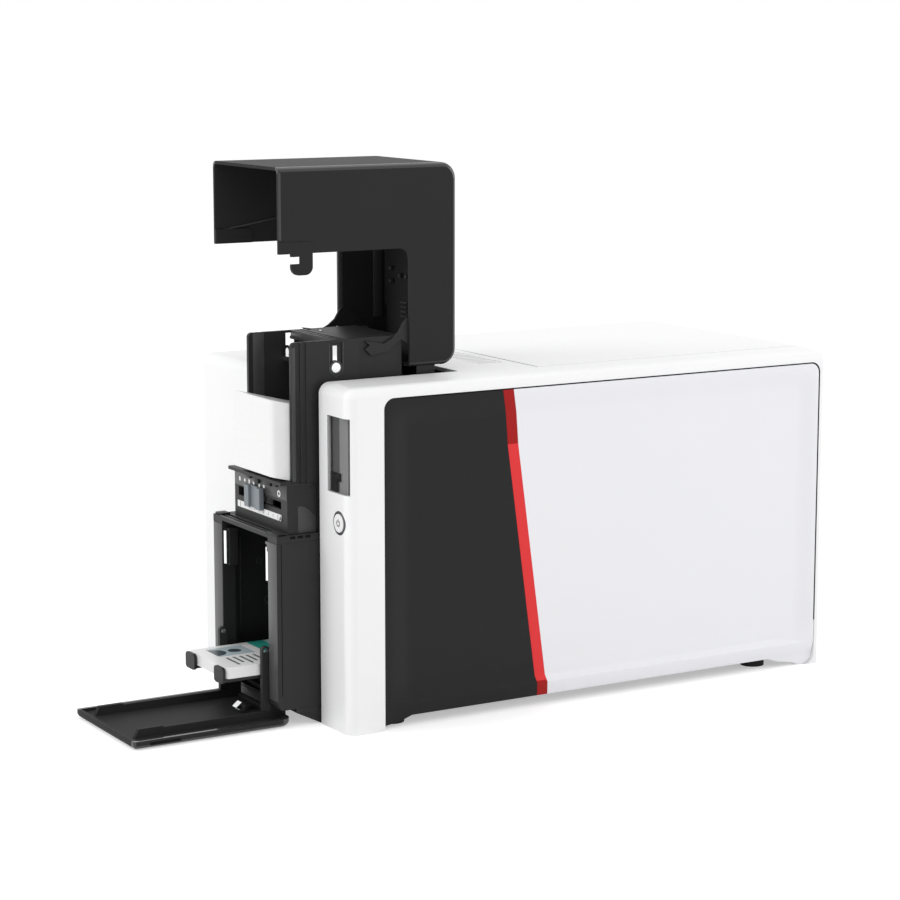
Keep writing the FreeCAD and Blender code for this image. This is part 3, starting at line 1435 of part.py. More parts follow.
motor_inner = right_plate_span[0]
motor_can = rod("motor_can", "x", motor_axis, (motor_inner - D.motor_length, motor_inner), D.motor_radius)
motor_bore = rod("motor_bore", "x", motor_axis, (motor_inner - D.motor_shaft_depth, motor_inner + over),
                 D.motor_shaft_radius + D.bearing_gap)
piece("drive_motor", cut("motor", motor_can, motor_bore))
motor_shaft_span = (motor_inner - D.motor_shaft_depth + D.fit_gap, lane_far[1])
motor_shaft = rod("motor_shaft", "x", motor_axis, motor_shaft_span, D.motor_shaft_radius)
motor_wheel = rod("motor_wheel", "x", motor_axis, lane_far, D.pulley_radius)
piece("motor_pulley", fuse("motor_drive", motor_shaft, motor_wheel))


def loop(name, first, second, radius, span):
    """A solid round two equal circles, as a belt goes round them."""
    run_y, run_z = second[0] - first[0], second[1] - first[1]
    distance = math.hypot(run_y.value, run_z.value)
    across_y, across_z = radius * (-run_z.value / distance), radius * (run_y.value / distance)
    middle = profile(f"{name}_middle", "x", [
        (first[0] + across_y, first[1] + across_z),
        (second[0] + across_y, second[1] + across_z),
        (second[0] - across_y, second[1] - across_z),
        (first[0] - across_y, first[1] - across_z)], span)
    return fuse(name, middle, rod(f"{name}_first", "x", first, span, radius),
                rod(f"{name}_second", "x", second, span, radius))


def belt(name, first, second, lane):
    slack = (D.pulley_width - D.belt_width) / 2
    span = (lane[0] + slack, lane[1] - slack)
    inside = D.pulley_radius + D.belt_gap
    return cut(name, loop(f"{name}_outer", first, second, inside + D.belt_thickness, span),
               loop(f"{name}_inner", first, second, inside, (span[0] - over, span[1] + over)))


belts = doc.addObject("Part::Compound", "belts")
rear_axis = roller_places["transport_rear"]
belts.Links = [belt("roller_belt", roller_places["transport_front"], rear_axis, lane_near),
               belt("motor_belt", motor_axis, rear_axis, lane_far)]
piece("drive_belts", belts)

# Control board on the left plate's studs

piece("control_board", box("board", board_x, board_y, board_z))

# Rear panel with the sockets and its screws

socket_z = D.socket_height
socket_x = [-side + D.socket_inset + D.socket_pitch * number for number in range(3)]
socket_y = (rear_face - D.socket_depth, rear_face)
socket_mouth = (rear_face - D.socket_depth + D.socket_floor, rear_face + over)


def at_socket(name, number, width, height, span):
    """A block across the middle of one socket."""
    return box(name, around(socket_x[number], width), span, around(socket_z, height))


network = cut("network_socket", at_socket("network_body", 0, D.network_width, D.network_height, socket_y),
              at_socket("network_hole", 0, D.network_hole, D.network_hole_height, socket_mouth))
usb = cut("usb_socket", at_socket("usb_body", 1, D.usb_width, D.usb_height, socket_y),
          at_socket("usb_hole", 1, D.usb_hole, D.usb_hole, socket_mouth))
data_group = doc.addObject("Part::Compound", "data_group")
data_group.Links = [network, usb]
piece("data_sockets", data_group)
inlet_centre = (socket_x[2], socket_z)
inlet_body = rod("inlet_body", "y", inlet_centre, socket_y, D.inlet_radius)
inlet_hole_y = (rear_face - D.inlet_hole_length, rear_face + over)
inlet_hole = rod("inlet_hole", "y", inlet_centre, inlet_hole_y, D.inlet_hole_radius)
piece("power_inlet", cut("inlet", inlet_body, inlet_hole))

panel_span = (rear_front - over, rear_face + over)
play = D.run_gap * 2
panel_cuts = [
    at_socket("network_cutout", 0, D.network_width + play, D.network_height + play, panel_span),
    at_socket("usb_cutout", 1, D.usb_width + play, D.usb_height + play, panel_span),
    rod("inlet_cutout", "y", inlet_centre, panel_span, D.inlet_radius + D.run_gap),
]
screws = []
for number, (x, z) in enumerate((x, z) for x in (-screw_x, screw_x) for z in screw_heights):
    panel_cuts.append(rod(f"screw_hole_{number}", "y", (x, z), panel_span, D.screw_shank_radius))
    head_span = ahead(rear_face, D.screw_head_height)
    shank_span = (rear_front - D.screw_length, rear_face)
    head = rod(f"screw_head_{number}", "y", (x, z), head_span, D.screw_head_radius)
    shank = rod(f"screw_shank_{number}", "y", (x, z), shank_span, D.screw_shank_radius)
    screws.append(fuse(f"screw_{number}", head, shank))
rear_sheet = box("rear_sheet", (-base_x, base_x), (rear_front, rear_face),
                 (D.base_height, D.body_height - D.housing_wall - D.fit_gap))
piece("rear_panel", cut("rear_plate", rear_sheet, *panel_cuts))
screw_group = doc.addObject("Part::Compound", "screw_group")
screw_group.Links = screws
piece("case_screws", screw_group)

# Every object and every finished shape is tested before anything is written
doc.recompute()
failed = [obj.Name for obj in doc.Objects if "Invalid" in obj.State or "Error" in obj.State]
if failed:
    raise RuntimeError(f"objects that could not be made: {failed}")
for obj in FINISHED:
    if obj.Shape.isNull() or not obj.Shape.isValid() or not obj.Shape.Solids:
        raise RuntimeError(f"{obj.Label} has no valid solid")

os.makedirs("parts", exist_ok=True)
for obj in FINISHED:
    obj.Shape.exportStep(f"parts/{obj.Label}.step")
    print(obj.Label, len(obj.Shape.Solids), "solid", round(obj.Shape.Volume), "cubic mm")
print(len(FINISHED), "sub-parts")
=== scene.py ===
# %% [markdown]
# # A desktop card printer
# This lesson dresses a printer for plastic identity cards. The construction comes ready made, in metres,
# as a fixed frame of named parts that ride on named bodies. Here each part gets its surface: softened
# edges that catch the light, mouldings, labels and finishes. Nothing from the frame is moved or resized.

# %% The frame and its box
import json
import math
import random

import bmesh
import bpy
from mathutils import Matrix, Vector


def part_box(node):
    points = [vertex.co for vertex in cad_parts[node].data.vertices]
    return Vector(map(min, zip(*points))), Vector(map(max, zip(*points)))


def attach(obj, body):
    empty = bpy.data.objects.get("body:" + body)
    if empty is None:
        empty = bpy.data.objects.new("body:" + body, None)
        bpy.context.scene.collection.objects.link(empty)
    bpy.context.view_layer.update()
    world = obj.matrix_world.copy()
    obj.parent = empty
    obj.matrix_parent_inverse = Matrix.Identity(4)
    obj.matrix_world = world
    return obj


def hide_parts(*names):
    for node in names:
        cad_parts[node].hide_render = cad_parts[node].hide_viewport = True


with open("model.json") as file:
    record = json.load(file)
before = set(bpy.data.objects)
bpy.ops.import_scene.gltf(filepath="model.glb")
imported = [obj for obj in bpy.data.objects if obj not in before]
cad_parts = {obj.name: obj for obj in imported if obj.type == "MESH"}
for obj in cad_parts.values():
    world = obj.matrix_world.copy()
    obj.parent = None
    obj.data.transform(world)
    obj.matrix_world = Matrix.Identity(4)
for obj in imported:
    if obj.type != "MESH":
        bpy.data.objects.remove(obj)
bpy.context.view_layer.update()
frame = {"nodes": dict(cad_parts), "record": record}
MM = 0.001


def corners(node):
    """A part's lowest and highest corners, in millimetres."""
    return [Vector(corner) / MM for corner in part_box(node)]


print("parts in the frame:", len(frame["nodes"]))

# %% [markdown]
# ## Shader maths as plain expressions
# A procedural finish is a sum of simple patterns. Wiring Math nodes by hand hides that sum, so a small
# class wraps one socket and turns `1 - mask` or `noise * 0.2` into Math nodes. A second class owns one
# node tree: its `node` method adds any other node from its type, its settings and the values of its
# sockets.

# %% A socket that can be added and multiplied


class Value:
    """A number in a node graph; sums and products of values add Math nodes."""

    def __init__(self, graph, socket):
        self.graph = graph
        self.socket = socket

    def math(self, operation, *others):
        inputs = dict(enumerate((self, *others)))
        return self.graph.node("ShaderNodeMath", {"operation": operation}, inputs)

    def __add__(self, other):
        return self.math("ADD", other)

    def __sub__(self, other):
        return self.math("SUBTRACT", other)

    def __rsub__(self, other):
        return self.graph.node("ShaderNodeMath", {"operation": "SUBTRACT"}, {0: other, 1: self})

    def __mul__(self, other):
        return self.math("MULTIPLY", other)

    def __truediv__(self, other):
        return self.math("DIVIDE", other)

    def __gt__(self, other):
        return self.math("GREATER_THAN", other)

    def __lt__(self, other):
        return self.math("LESS_THAN", other)

    __radd__ = __add__
    __rmul__ = __mul__


# %% A node tree


class Graph:
    """A node tree, and the one method that adds nodes to it."""

    def __init__(self, tree):
        self.tree = tree
        self.tree.nodes.clear()

    def feed(self, socket, value):
        if isinstance(value, Value):
            self.tree.links.new(value.socket, socket)
        elif hasattr(socket.default_value, "__len__") and len(socket.default_value) == 4:
            socket.default_value = (*value[:3], 1)
        else:
            socket.default_value = value

    def node(self, kind, settings=None, inputs=None, result=0):
        """Adds a node with its settings, feeds its sockets and gives one of its results."""
        made = self.tree.nodes.new(kind)
        for key, value in (settings or {}).items():
            setattr(made, key, value)
        for key, value in (inputs or {}).items():
            self.feed(made.inputs[key], value)
        return Value(self, made.outputs[result]) if made.outputs else made


# %% A material made of nodes


class Finish(Graph):
    """One material: a Principled shader and the graph that feeds it."""

    def __init__(self, name, **settings):
        self.material = bpy.data.materials.new(name)
        self.material.use_nodes = True
        super().__init__(self.material.node_tree)
        self.shader = self.tree.nodes.new("ShaderNodeBsdfPrincipled")
        self.node("ShaderNodeOutputMaterial", {}, {"Surface": Value(self, self.shader.outputs["BSDF"])})
        for socket, value in settings.items():
            self.set(socket.replace("_", " ").title().replace("Ior", "IOR"), value)

    def set(self, socket, value):
        self.feed(self.shader.inputs[socket], value)

    def place(self):
        """The object's own coordinates, in metres."""
        return self.node("ShaderNodeTexCoord", result="Object")

    def axes(self):
        """The three coordinates as separate values."""
        parts = self.tree.nodes.new("ShaderNodeSeparateXYZ")
        self.feed(parts.inputs[0], self.place())
        return [Value(self, parts.outputs[index]) for index in range(3)]

    def noise(self, size, detail=2.0, place=None):
        """Cloudy noise whose blobs are about this size in metres."""
        inputs = {"Vector": place or self.place(), "Scale": 1 / size, "Detail": detail}
        return self.node("ShaderNodeTexNoise", {}, inputs)

    def mix(self, factor, first, second):
        """One colour turning into another as the factor goes from 0 to 1."""
        return self.node("ShaderNodeMix", {"data_type": "RGBA"}, {0: factor, 6: first, 7: second}, result=2)

    def bump(self, height, distance, strength=1.0):
        """Sends a height to the shader's normal; the distance is in metres."""
        inputs = {"Height": height, "Distance": distance, "Strength": strength}
        self.set("Normal", self.node("ShaderNodeBump", {}, inputs))


# %% [markdown]
# ## Moulded plastic
# Nearly every outside part of this machine is injection moulded. A mould is spark eroded, so the plastic
# has a grain of about half a millimetre, and its gloss is never quite even. One function makes that
# surface from a colour, a gloss and a grain depth: a fine noise for the grain, and a large one that
# changes colour and gloss a little.

# %% Moulded plastic
GRAIN_SIZE = 0.5 * MM
CLOUD_SIZE = 60 * MM
CLOUD_GLOSS = 0.08
GRAIN_GLOSS = 0.06


def shade(colour, factor):
    return tuple(min(1.0, channel * factor) for channel in colour)


def plastic(name, colour, roughness, grain_depth, spread=0.06, specular=0.5, relief=None):
    """Grained plastic; the relief, if any, is a function that adds a larger height in metres."""
    finish = Finish(name, specular_ior_level=specular)
    cloud = finish.noise(CLOUD_SIZE, 3.0)
    grain = finish.noise(GRAIN_SIZE)
    finish.set("Base Color", finish.mix(cloud, shade(colour, 1 - spread), shade(colour, 1 + spread)))
    even_part = roughness - (CLOUD_GLOSS + GRAIN_GLOSS) / 2
    finish.set("Roughness", cloud * CLOUD_GLOSS + grain * GRAIN_GLOSS + even_part)
    if relief is None:
        finish.bump(grain, grain_depth)
    else:
        finish.bump(grain * grain_depth + relief(finish), 1.0)
    return finish


# %% [markdown]
# ## The dished side panels
# The black panel, the stripe and the white panel lie in one shallow dish: within 18 mm of the edge the
# surface sinks by about two millimetres. The slope is too gentle to need its own mesh, so it is a height
# in the finish. A smooth ramp starts at each edge, and the product of the four ramps is the dish.

# %% The dish
DISH_DEPTH = 2.0 * MM
DISH_SLOPE = 18 * MM
DISH_BOTTOM = 14 * MM
PANEL_LOW = Vector(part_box("right_front_panel")[0])
PANEL_HIGH = Vector(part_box("right_rear_panel_skin")[1])


def ramp(finish, value, start, end):
    """A smooth step from 0 at the start to 1 at the end."""
    limits = {"Value": value, "From Min": start, "From Max": end}
    return finish.node("ShaderNodeMapRange", {"interpolation_type": "SMOOTHSTEP"}, limits)


def dish(finish):
    along, up = finish.axes()[1:]
    front = ramp(finish, along, PANEL_LOW.y, PANEL_LOW.y + DISH_SLOPE)
    rear = ramp(finish, PANEL_HIGH.y - along, 0, DISH_SLOPE)
    top = ramp(finish, PANEL_HIGH.z - up, 0, DISH_SLOPE)
    bottom = ramp(finish, up, DISH_BOTTOM, DISH_BOTTOM + DISH_SLOPE)
    return front * rear * top * bottom * -DISH_DEPTH


# %% The plastics
WHITE = (0.935, 0.935, 0.94)
NEAR_BLACK = (0.025, 0.025, 0.0255)
CHARCOAL = (0.031, 0.031, 0.0315)
CARD_WHITE = (0.94, 0.94, 0.935)
PANEL_BLACK = (0.0085, 0.0085, 0.0088)
STRIPE_RED = (0.78, 0.045, 0.048)
SMOOTH = 0.004 * MM
FINE = 0.006 * MM
MEDIUM = 0.01 * MM
COARSE = 0.015 * MM
EVEN = 0.01
plastics = {
    "white_shell": plastic("white_shell", WHITE, 0.38, MEDIUM, EVEN),
    "white_panel": plastic("white_panel", (0.87, 0.87, 0.90), 0.30, FINE, EVEN, 0.5, dish),
    "black_panel": plastic("black_panel", PANEL_BLACK, 0.36, FINE, 0.06, 0.20, dish),
    "red_stripe": plastic("red_stripe", STRIPE_RED, 0.32, FINE, 0.04, 0.12, dish),
    "charcoal_cover": plastic("charcoal_cover", CHARCOAL, 0.45, COARSE, specular=0.03),
    "black_module": plastic("black_module", NEAR_BLACK, 0.42, COARSE, specular=0.18),
    "grey_slider": plastic("grey_slider", (0.20, 0.225, 0.245), 0.5, COARSE),
    # A lighter copy of the black plastic: a painted highlight for front faces and edges that face the light.
    "satin_edge": plastic("satin_edge", (0.082, 0.082, 0.083), 0.38, MEDIUM, specular=0.35),
    # A softer lighter copy of the black plastic: a painted highlight on raised bands, ribs, bosses and
    # faces.
    "satin_band": plastic("satin_band", (0.052, 0.052, 0.053), 0.36, MEDIUM, specular=0.3),
    # Near black as painted shade, laid where a gap, slot, notch or groove lies in shadow.
    "painted_recess_shade": plastic("painted_recess_shade", (0.004, 0.004, 0.004), 0.7, MEDIUM, specular=0.1),
    "mark_white": plastic("mark_white", (0.82, 0.82, 0.81), 0.5, SMOOTH, EVEN),
    "mark_grey": plastic("mark_grey", (0.09, 0.09, 0.095), 0.5, SMOOTH),
    # The liner's lighter grey is painted light against the shade in the window's opening.
    "liner_painted_light": plastic("liner_painted_light", (0.45, 0.45, 0.45), 0.5, SMOOTH),
    "button_cap": plastic("button_cap", WHITE, 0.4, MEDIUM, EVEN),
    "button_ring": plastic("button_ring", (0.06, 0.06, 0.064), 0.4, MEDIUM),
    "scale_label": plastic("scale_label", (0.86, 0.86, 0.86), 0.45, SMOOTH, EVEN),
    "board_green": plastic("board_green", (0.012, 0.10, 0.05), 0.4, MEDIUM),
    "ribbon_film": plastic("ribbon_film", (0.05, 0.03, 0.09), 0.25, MEDIUM),
    "card_white": plastic("card_white", CARD_WHITE, 0.35, SMOOTH, EVEN),
    "black_plate": plastic("black_plate", (0.02, 0.02, 0.021), 0.4, MEDIUM, specular=0.3),
    "motor_can": plastic("motor_can", (0.03, 0.03, 0.032), 0.35, MEDIUM),
}
finishes = {name: finish.material for name, finish in plastics.items()}
print("plastics:", len(plastics))

# %% [markdown]
# ## The stripe's painted shade
# The red stripe is brighter where it lies flat in the dish. Where it turns over the panel's upper rim and
# under its lower one it is painted a deeper red, as painted shade for the light those turned faces lose.
# A comparison of the height with each end's place picks the painted shade.

# %% The stripe's red and its painted shade
STRIPE_TOP_END = 169.5 * MM
STRIPE_LOW_END = 17 * MM
STRIPE_PAINTED_SHADE = (0.385, 0.013, 0.012)
stripe = plastics["red_stripe"]
up = stripe.axes()[2]
painted_shade_ends = (up > STRIPE_TOP_END) + (up < STRIPE_LOW_END)
# The deeper red at both ends is painted shade.
stripe.set("Base Color", stripe.mix(painted_shade_ends, STRIPE_RED, STRIPE_PAINTED_SHADE))
print("flat red between", STRIPE_LOW_END / MM, "and", STRIPE_TOP_END / MM, "mm")

# %% [markdown]
# ## The cover's polished rims
# The raised cover is matt, but the wide rounds along its side walls come from a polished part of the
# mould and catch a bright line. They get a clear coat. Its mask is the distance from the middle of a
# rounded rectangle, which is large only near the outline, times a test for the places just inside each
# side face.

# %% The rims' clear coat
RIM_ROUND = 3.5 * MM
RIM_START = 0.1 * MM
OUTLINE_CORNER = 10.0 * MM
COVER_LOW, COVER_HIGH = (Vector(corner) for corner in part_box("cover_shell"))
cover_finish = plastics["charcoal_cover"]
across, along, up = cover_finish.axes()
half_height = (COVER_HIGH.z - COVER_LOW.z) / 2
half_width = (COVER_HIGH.x - COVER_LOW.x) / 2
above = (up - (COVER_LOW.z + half_height)).math("ABSOLUTE") - (half_height - OUTLINE_CORNER)
past = along - (COVER_HIGH.y - OUTLINE_CORNER)
past = past.math("MAXIMUM", 0.0)
above = above.math("MAXIMUM", 0.0)
reach = (past * past + above * above).math("SQRT")
near_outline = reach > OUTLINE_CORNER - RIM_ROUND
inward = half_width - (across - (COVER_LOW.x + half_width)).math("ABSOLUTE")
near_side = (inward > RIM_START) * (inward < RIM_ROUND - RIM_START)
cover_finish.set("Coat Weight", near_outline * near_side)
print("rims are", RIM_ROUND / MM, "mm wide")

# %% [markdown]
# ## Metal and rubber
# The rods and pins are polished, the plates are zinc-plated sheet with faint brush lines, and the rollers
# and feet are rubber. A brushed sheet is a noise stretched along one axis, which only changes its
# roughness and its bump.

# %% Metal and rubber
BRUSH_SIZE = 2 * MM
BRUSH_STRETCH = 30
BRUSH_GLOSS = 0.2
SMEAR_SIZE = 4 * MM
SMEAR_GLOSS = 0.08
POLISH = 0.12
RUBBER_GRAIN = 0.8 * MM
RUBBER_GLOSS = 0.15
RUBBER_ROUGH = 0.7


def brushed(name, colour, roughness):
    finish = Finish(name, metallic=1.0)
    scale = {"Vector": finish.place(), "Scale": (1, 1, BRUSH_STRETCH)}
    stretched = finish.node("ShaderNodeMapping", {}, scale)
    lines = finish.noise(BRUSH_SIZE, 3.0, stretched)
    finish.set("Base Color", finish.mix(lines, shade(colour, 0.9), shade(colour, 1.08)))
    finish.set("Roughness", lines * BRUSH_GLOSS + (roughness - BRUSH_GLOSS / 2))
    finish.bump(lines, MEDIUM)
    return finish.material


def polished(name, colour):
    finish = Finish(name, metallic=1.0)
    smear = finish.noise(SMEAR_SIZE)
    finish.set("Base Color", finish.mix(smear, shade(colour, 0.96), colour))
    finish.set("Roughness", smear * SMEAR_GLOSS + POLISH)
    return finish.material


def rubber(name, colour):
    finish = Finish(name, specular_ior_level=0.3)
    grain = finish.noise(RUBBER_GRAIN, 4.0)
    finish.set("Base Color", finish.mix(grain, shade(colour, 0.8), shade(colour, 1.2)))
    finish.set("Roughness", grain * RUBBER_GLOSS + RUBBER_ROUGH)
    finish.bump(grain, 0.03 * MM)
    return finish.material


finishes["steel_plate"] = brushed("steel_plate", (0.5, 0.51, 0.52), 0.38)
finishes["socket_metal"] = brushed("socket_metal", (0.6, 0.6, 0.62), 0.3)
finishes["head_metal"] = brushed("head_metal", (0.62, 0.62, 0.63), 0.35)
finishes["bright_rod"] = polished("bright_rod", (0.86, 0.86, 0.87))
finishes["roller_rubber"] = rubber("roller_rubber", (0.03, 0.03, 0.03))
finishes["foot_rubber"] = rubber("foot_rubber", (0.02, 0.02, 0.02))
finishes["belt_rubber"] = rubber("belt_rubber", (0.015, 0.015, 0.015))

# %% [markdown]
# ## Smoked window
# The display's cover is a thin smoked pane. A thin pane doesn't need to bend the light, so it is a glossy
# surface that lets a part of what is behind it through. Behind it lie a dark tone, a light tone and a
# black pointer, and one material paints all three: it compares the object's own coordinates with the
# places where one ends.

# %% Smoked window
SMOKE_DARK = (0.020, 0.020, 0.021)
SMOKE_LIGHT = (0.025, 0.025, 0.026)
pane = Finish("smoked_window", roughness=0.12, alpha=0.16, specular_ior_level=0.25)
pane.set("Base Color", pane.mix(pane.noise(CLOUD_SIZE), SMOKE_DARK, SMOKE_LIGHT))
finishes["smoked_window"] = pane.material

# %% The panel behind the window
TONE_EDGE = 86.0 * MM
TONE_DARK = (0.16, 0.16, 0.16)
TONE_LIGHT = (0.46, 0.46, 0.46)
POINTER_DEPTH = 0.5 * MM
POINTER_BLACK = (0.006, 0.006, 0.006)
backing = Finish("display_grey", roughness=0.5)
across, deep = backing.axes()[:2]
tones = backing.mix(across > TONE_EDGE, TONE_DARK, TONE_LIGHT)
on_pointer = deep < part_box("display_backing")[0][1] + POINTER_DEPTH
backing.set("Base Color", backing.mix(on_pointer, tones, POINTER_BLACK))
backing.bump(backing.noise(GRAIN_SIZE), SMOOTH)
finishes["display_grey"] = backing.material

# %% [markdown]
# ## A printed card
# The cards in the tray carry a plain layout of their own: a grey portrait field with a simple bust, a few
# bars in place of lines of text, and a teal band. Each shape is a mask, which is 1 inside and 0 outside:
# a comparison gives a half plane, a product of comparisons gives a rectangle, and a sum of squares gives
# a disc. The masks mix one colour over another, and a last mask keeps the ink off the cards' edges.

# %% The print's shapes
PRINT_TEAL = (0.035, 0.42, 0.34)
PRINT_PALE = (0.22, 0.62, 0.55)
PRINT_SLATE = (0.055, 0.075, 0.09)
PRINT_FIELD = (0.50, 0.60, 0.64)
PRINT_GREY = (0.16, 0.17, 0.18)
cards = Finish("card_print", roughness=0.3)
card_low, card_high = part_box("printed_cards")
across, along, up = cards.axes()
across = (across - card_low[0]) / MM
along = (along - card_low[1]) / MM


def within(value, low, high):
    return (value > low) * (value < high)


def field(left, right, near, far):
    """A rectangle on the card, in millimetres from its left and near edges."""
    return within(across, left, right) * within(along, near, far)


def disc_mask(middle_across, middle_along, radius, stretch=1.0):
    sideways = across - middle_across
    lengthways = (along - middle_along) * stretch
    return (sideways * sideways + lengthways * lengthways) < radius * radius


# %% The print's layout
CARD_SPAN = (-1, 55)
PORTRAIT = (5, 26, 9, 34)
BARS_LEFT = 30
BARS_START = 11
BARS_PITCH = 4.6
BAR_LONG = 19
BAR_CUT = 4
BAR_TALL = 1.8
BOXES_START = 8
BOXES_PITCH = 10
BOX_WIDE = 6
BOX_ROW = (62, 68)
print_layers = [
    (field(*CARD_SPAN, 40, 52), PRINT_TEAL),
    (field(*CARD_SPAN, 52.8, 54), PRINT_PALE),
    (disc_mask(44, 46, 4.2), PRINT_PALE),
    (field(*PORTRAIT), PRINT_FIELD),
    (disc_mask(15.5, 24.5, 4.3), PRINT_SLATE),
    (disc_mask(15.5, 9.5, 8.2, 0.95) * field(*PORTRAIT), PRINT_SLATE),
]
for row in range(5):
    right = BARS_LEFT + BAR_LONG - BAR_CUT * (row % 2)
    near = BARS_START + BARS_PITCH * row
    print_layers.append((field(BARS_LEFT, right, near, near + BAR_TALL), PRINT_GREY))
for column in range(4):
    left = BOXES_START + BOXES_PITCH * column
    print_layers.append((field(left, left + BOX_WIDE, *BOX_ROW), PRINT_TEAL))
print_layers.append((field(8, 44, 74, 75.6), PRINT_GREY))

# %% The print's colours
INK_DEPTH = 0.1 * MM
ink = CARD_WHITE
for mask, colour in print_layers:
    ink = cards.mix(mask, ink, colour)
on_top = up > card_high[2] - INK_DEPTH
cards.set("Base Color", cards.mix(on_top, CARD_WHITE, ink))
cards.bump(cards.noise(GRAIN_SIZE), SMOOTH)
finishes["card_print"] = cards.material
print("finishes:", len(finishes))

# %% [markdown]
# ## Every part gets its finish
# The record names one material slot for each node, so one loop dresses the whole frame.

# %% Finishes for the frame's own parts
record = frame["record"]
slot_of = {part["node"]: part["material_slot"] for part in record["subparts"]}
body_of_node = {node: body for body, nodes in record["behaviour"]["bodies"].items() for node in nodes}
for node, part in frame["nodes"].items():
    part.data.materials.clear()
    part.data.materials.append(finishes[slot_of[node]])

# %% [markdown]
# ## Softened edges
# A moulded edge is never knife sharp, and the small round on it is what draws the bright lines along a
# dark part. A copy of each outside part is welded, its flat faces are joined, and its sharp edges are
# bevelled. The copy then stands for the part it came from.

# %% Helpers that make pieces
SHARP = math.radians(28)
FLAT = math.radians(0.6)
WELD = 0.002 * MM


def finished(name, work, slot, body, look=None, smooth_angle=SHARP):
    """Turns a bmesh into a shown piece on a body, with a slot's finish or a look of its own."""
    mesh = bpy.data.meshes.new(name)
    work.to_mesh(mesh)
    work.free()
    mesh.materials.append(finishes[look or slot])
    mesh.shade_smooth()
    mesh.set_sharp_from_angle(angle=smooth_angle)
    piece = bpy.data.objects.new(name, mesh)
    bpy.context.scene.collection.objects.link(piece)
    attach(piece, body)
    return piece


def bevel_sharp(work, width, segments=2):
    """Rounds every edge that is sharper than the limit."""
    edges = [edge for edge in work.edges if len(edge.link_faces) == 2 and edge.calc_face_angle(0) > SHARP]
    bmesh.ops.bevel(work, geom=edges, offset=width, offset_type="OFFSET", affect="EDGES", segments=segments,
                    profile=0.5, material=-1, clamp_overlap=True)


def soften(node, width):
    """A copy of a CAD part with joined faces and rounded edges, which stands for the part."""
    work = bmesh.new()
    work.from_mesh(frame["nodes"][node].data)
    bmesh.ops.remove_doubles(work, verts=work.verts, dist=WELD)
    bmesh.ops.dissolve_limit(work, angle_limit=FLAT, verts=work.verts, edges=work.edges)
    bevel_sharp(work, width)
    piece = finished(f"{node}_softened", work, slot_of[node], body_of_node[node])
    weighted = piece.modifiers.new("flat faces stay flat", "WEIGHTED_NORMAL")
    weighted.keep_sharp = True
    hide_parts(node)
    return piece


# %% Softened copies of the outside parts
EDGE_ROUNDS = {
    0.4: ["right_housing", "left_housing", "cover_shell", "hopper_flap", "card_tray"],
    0.3: ["top_front_plate", "top_rear_cover", "hinge_arms", "feeder_right_wall", "feeder_left_wall",
          "feeder_deck", "gauge_housing", "gauge_slider", "hopper_shell", "hopper_roof", "flap_levers",
          "base_pan", "right_front_panel", "right_stripe", "right_rear_panel_skin",
          "left_front_panel", "left_stripe", "left_rear_panel_skin"],
    0.15: ["cover_hook", "catch_rod_holders", "feeder_back_wall", "flap_spring", "button_ring",
           "power_button", "rear_panel", "data_sockets", "power_inlet"],
}
softened = [soften(node, width * MM) for width, nodes in EDGE_ROUNDS.items() for node in nodes]
print("softened parts:", len(softened))

# %% [markdown]
# ## Small pieces
# The machine's small mouldings come in few kinds: bars with soft edges, flat plates with an outline, and
# turned rings and discs. One helper makes each kind, in the frame's own millimetres. A bar starts as a
# cube that is scaled to its corners, a plate is one face that is extruded, and a ring is a short profile
# spun about its axis. Depths are measured behind the front of the right column, because that plane is
# easy to find on the real machine. A raised piece starts a tenth of a millimetre inside the part that it
# sits on.

# %% Bars
# The slot and the body of most pieces.
MODULE = ("black_module", "machine")
COVER = ("charcoal_cover", "cover")
FRONT = corners("right_housing")[0].y
SUNK = 0.1


def behind(depth):
    """The Y place that lies this far behind the column's front face."""
    return FRONT + depth


def side_outline(points):
    """An outline seen from the side, from its depths and its levels."""
    return [(behind(depth), level) for depth, level in points]


def bar(name, low, high, slot, body, look=None, round_width=0.25):
    """A bar between two corners, with soft edges."""
    work = bmesh.new()
    bmesh.ops.create_cube(work, size=1)
    size = Vector(high) - Vector(low)
    middle = (Vector(high) + Vector(low)) / 2
    bmesh.ops.scale(work, vec=size * MM, verts=work.verts)
    bmesh.ops.translate(work, vec=middle * MM, verts=work.verts)
    bevel_sharp(work, round_width * MM)
    return finished(name, work, slot, body, look)


# %% Plates with an outline
AXES = {"x": (1, 2, 0), "y": (0, 2, 1), "z": (0, 1, 2)}


def on_axis(axis, first, second, level):
    """A point from its two places across an axis and its level along it."""
    place = [0.0, 0.0, 0.0]
    for index, value in zip(AXES[axis], (first, second, level)):
        place[index] = value * MM
    return Vector(place)


def thicken(work, axis, depth):
    """Extrudes every face of a flat bmesh along an axis."""
    grown = bmesh.ops.extrude_face_region(work, geom=work.faces[:])
    moved = [item for item in grown["geom"] if isinstance(item, bmesh.types.BMVert)]
    bmesh.ops.translate(work, vec=on_axis(axis, 0, 0, depth), verts=moved)
    bmesh.ops.recalc_face_normals(work, faces=work.faces)


def round_corners(work, points, width, segments):
    bmesh.ops.bevel(work, geom=points, offset=width * MM, offset_type="OFFSET", affect="VERTICES",
                    segments=segments, profile=0.5, material=-1, clamp_overlap=True)


def plate(name, axis, outline, low, high, slot, body, look=None, corner=0.0, round_width=0.2, rounded=None):
    """An outline across an axis, extruded between two levels; the listed corners, or all, are rounded."""
    work = bmesh.new()
    points = [work.verts.new(on_axis(axis, first, second, low)) for first, second in outline]
    work.faces.new(points)
    if corner:
        chosen = points if rounded is None else [points[index] for index in rounded]
        round_corners(work, chosen, corner, 6)
    thicken(work, axis, high - low)
    if round_width:
        bevel_sharp(work, round_width * MM)
    return finished(name, work, slot, body, look)


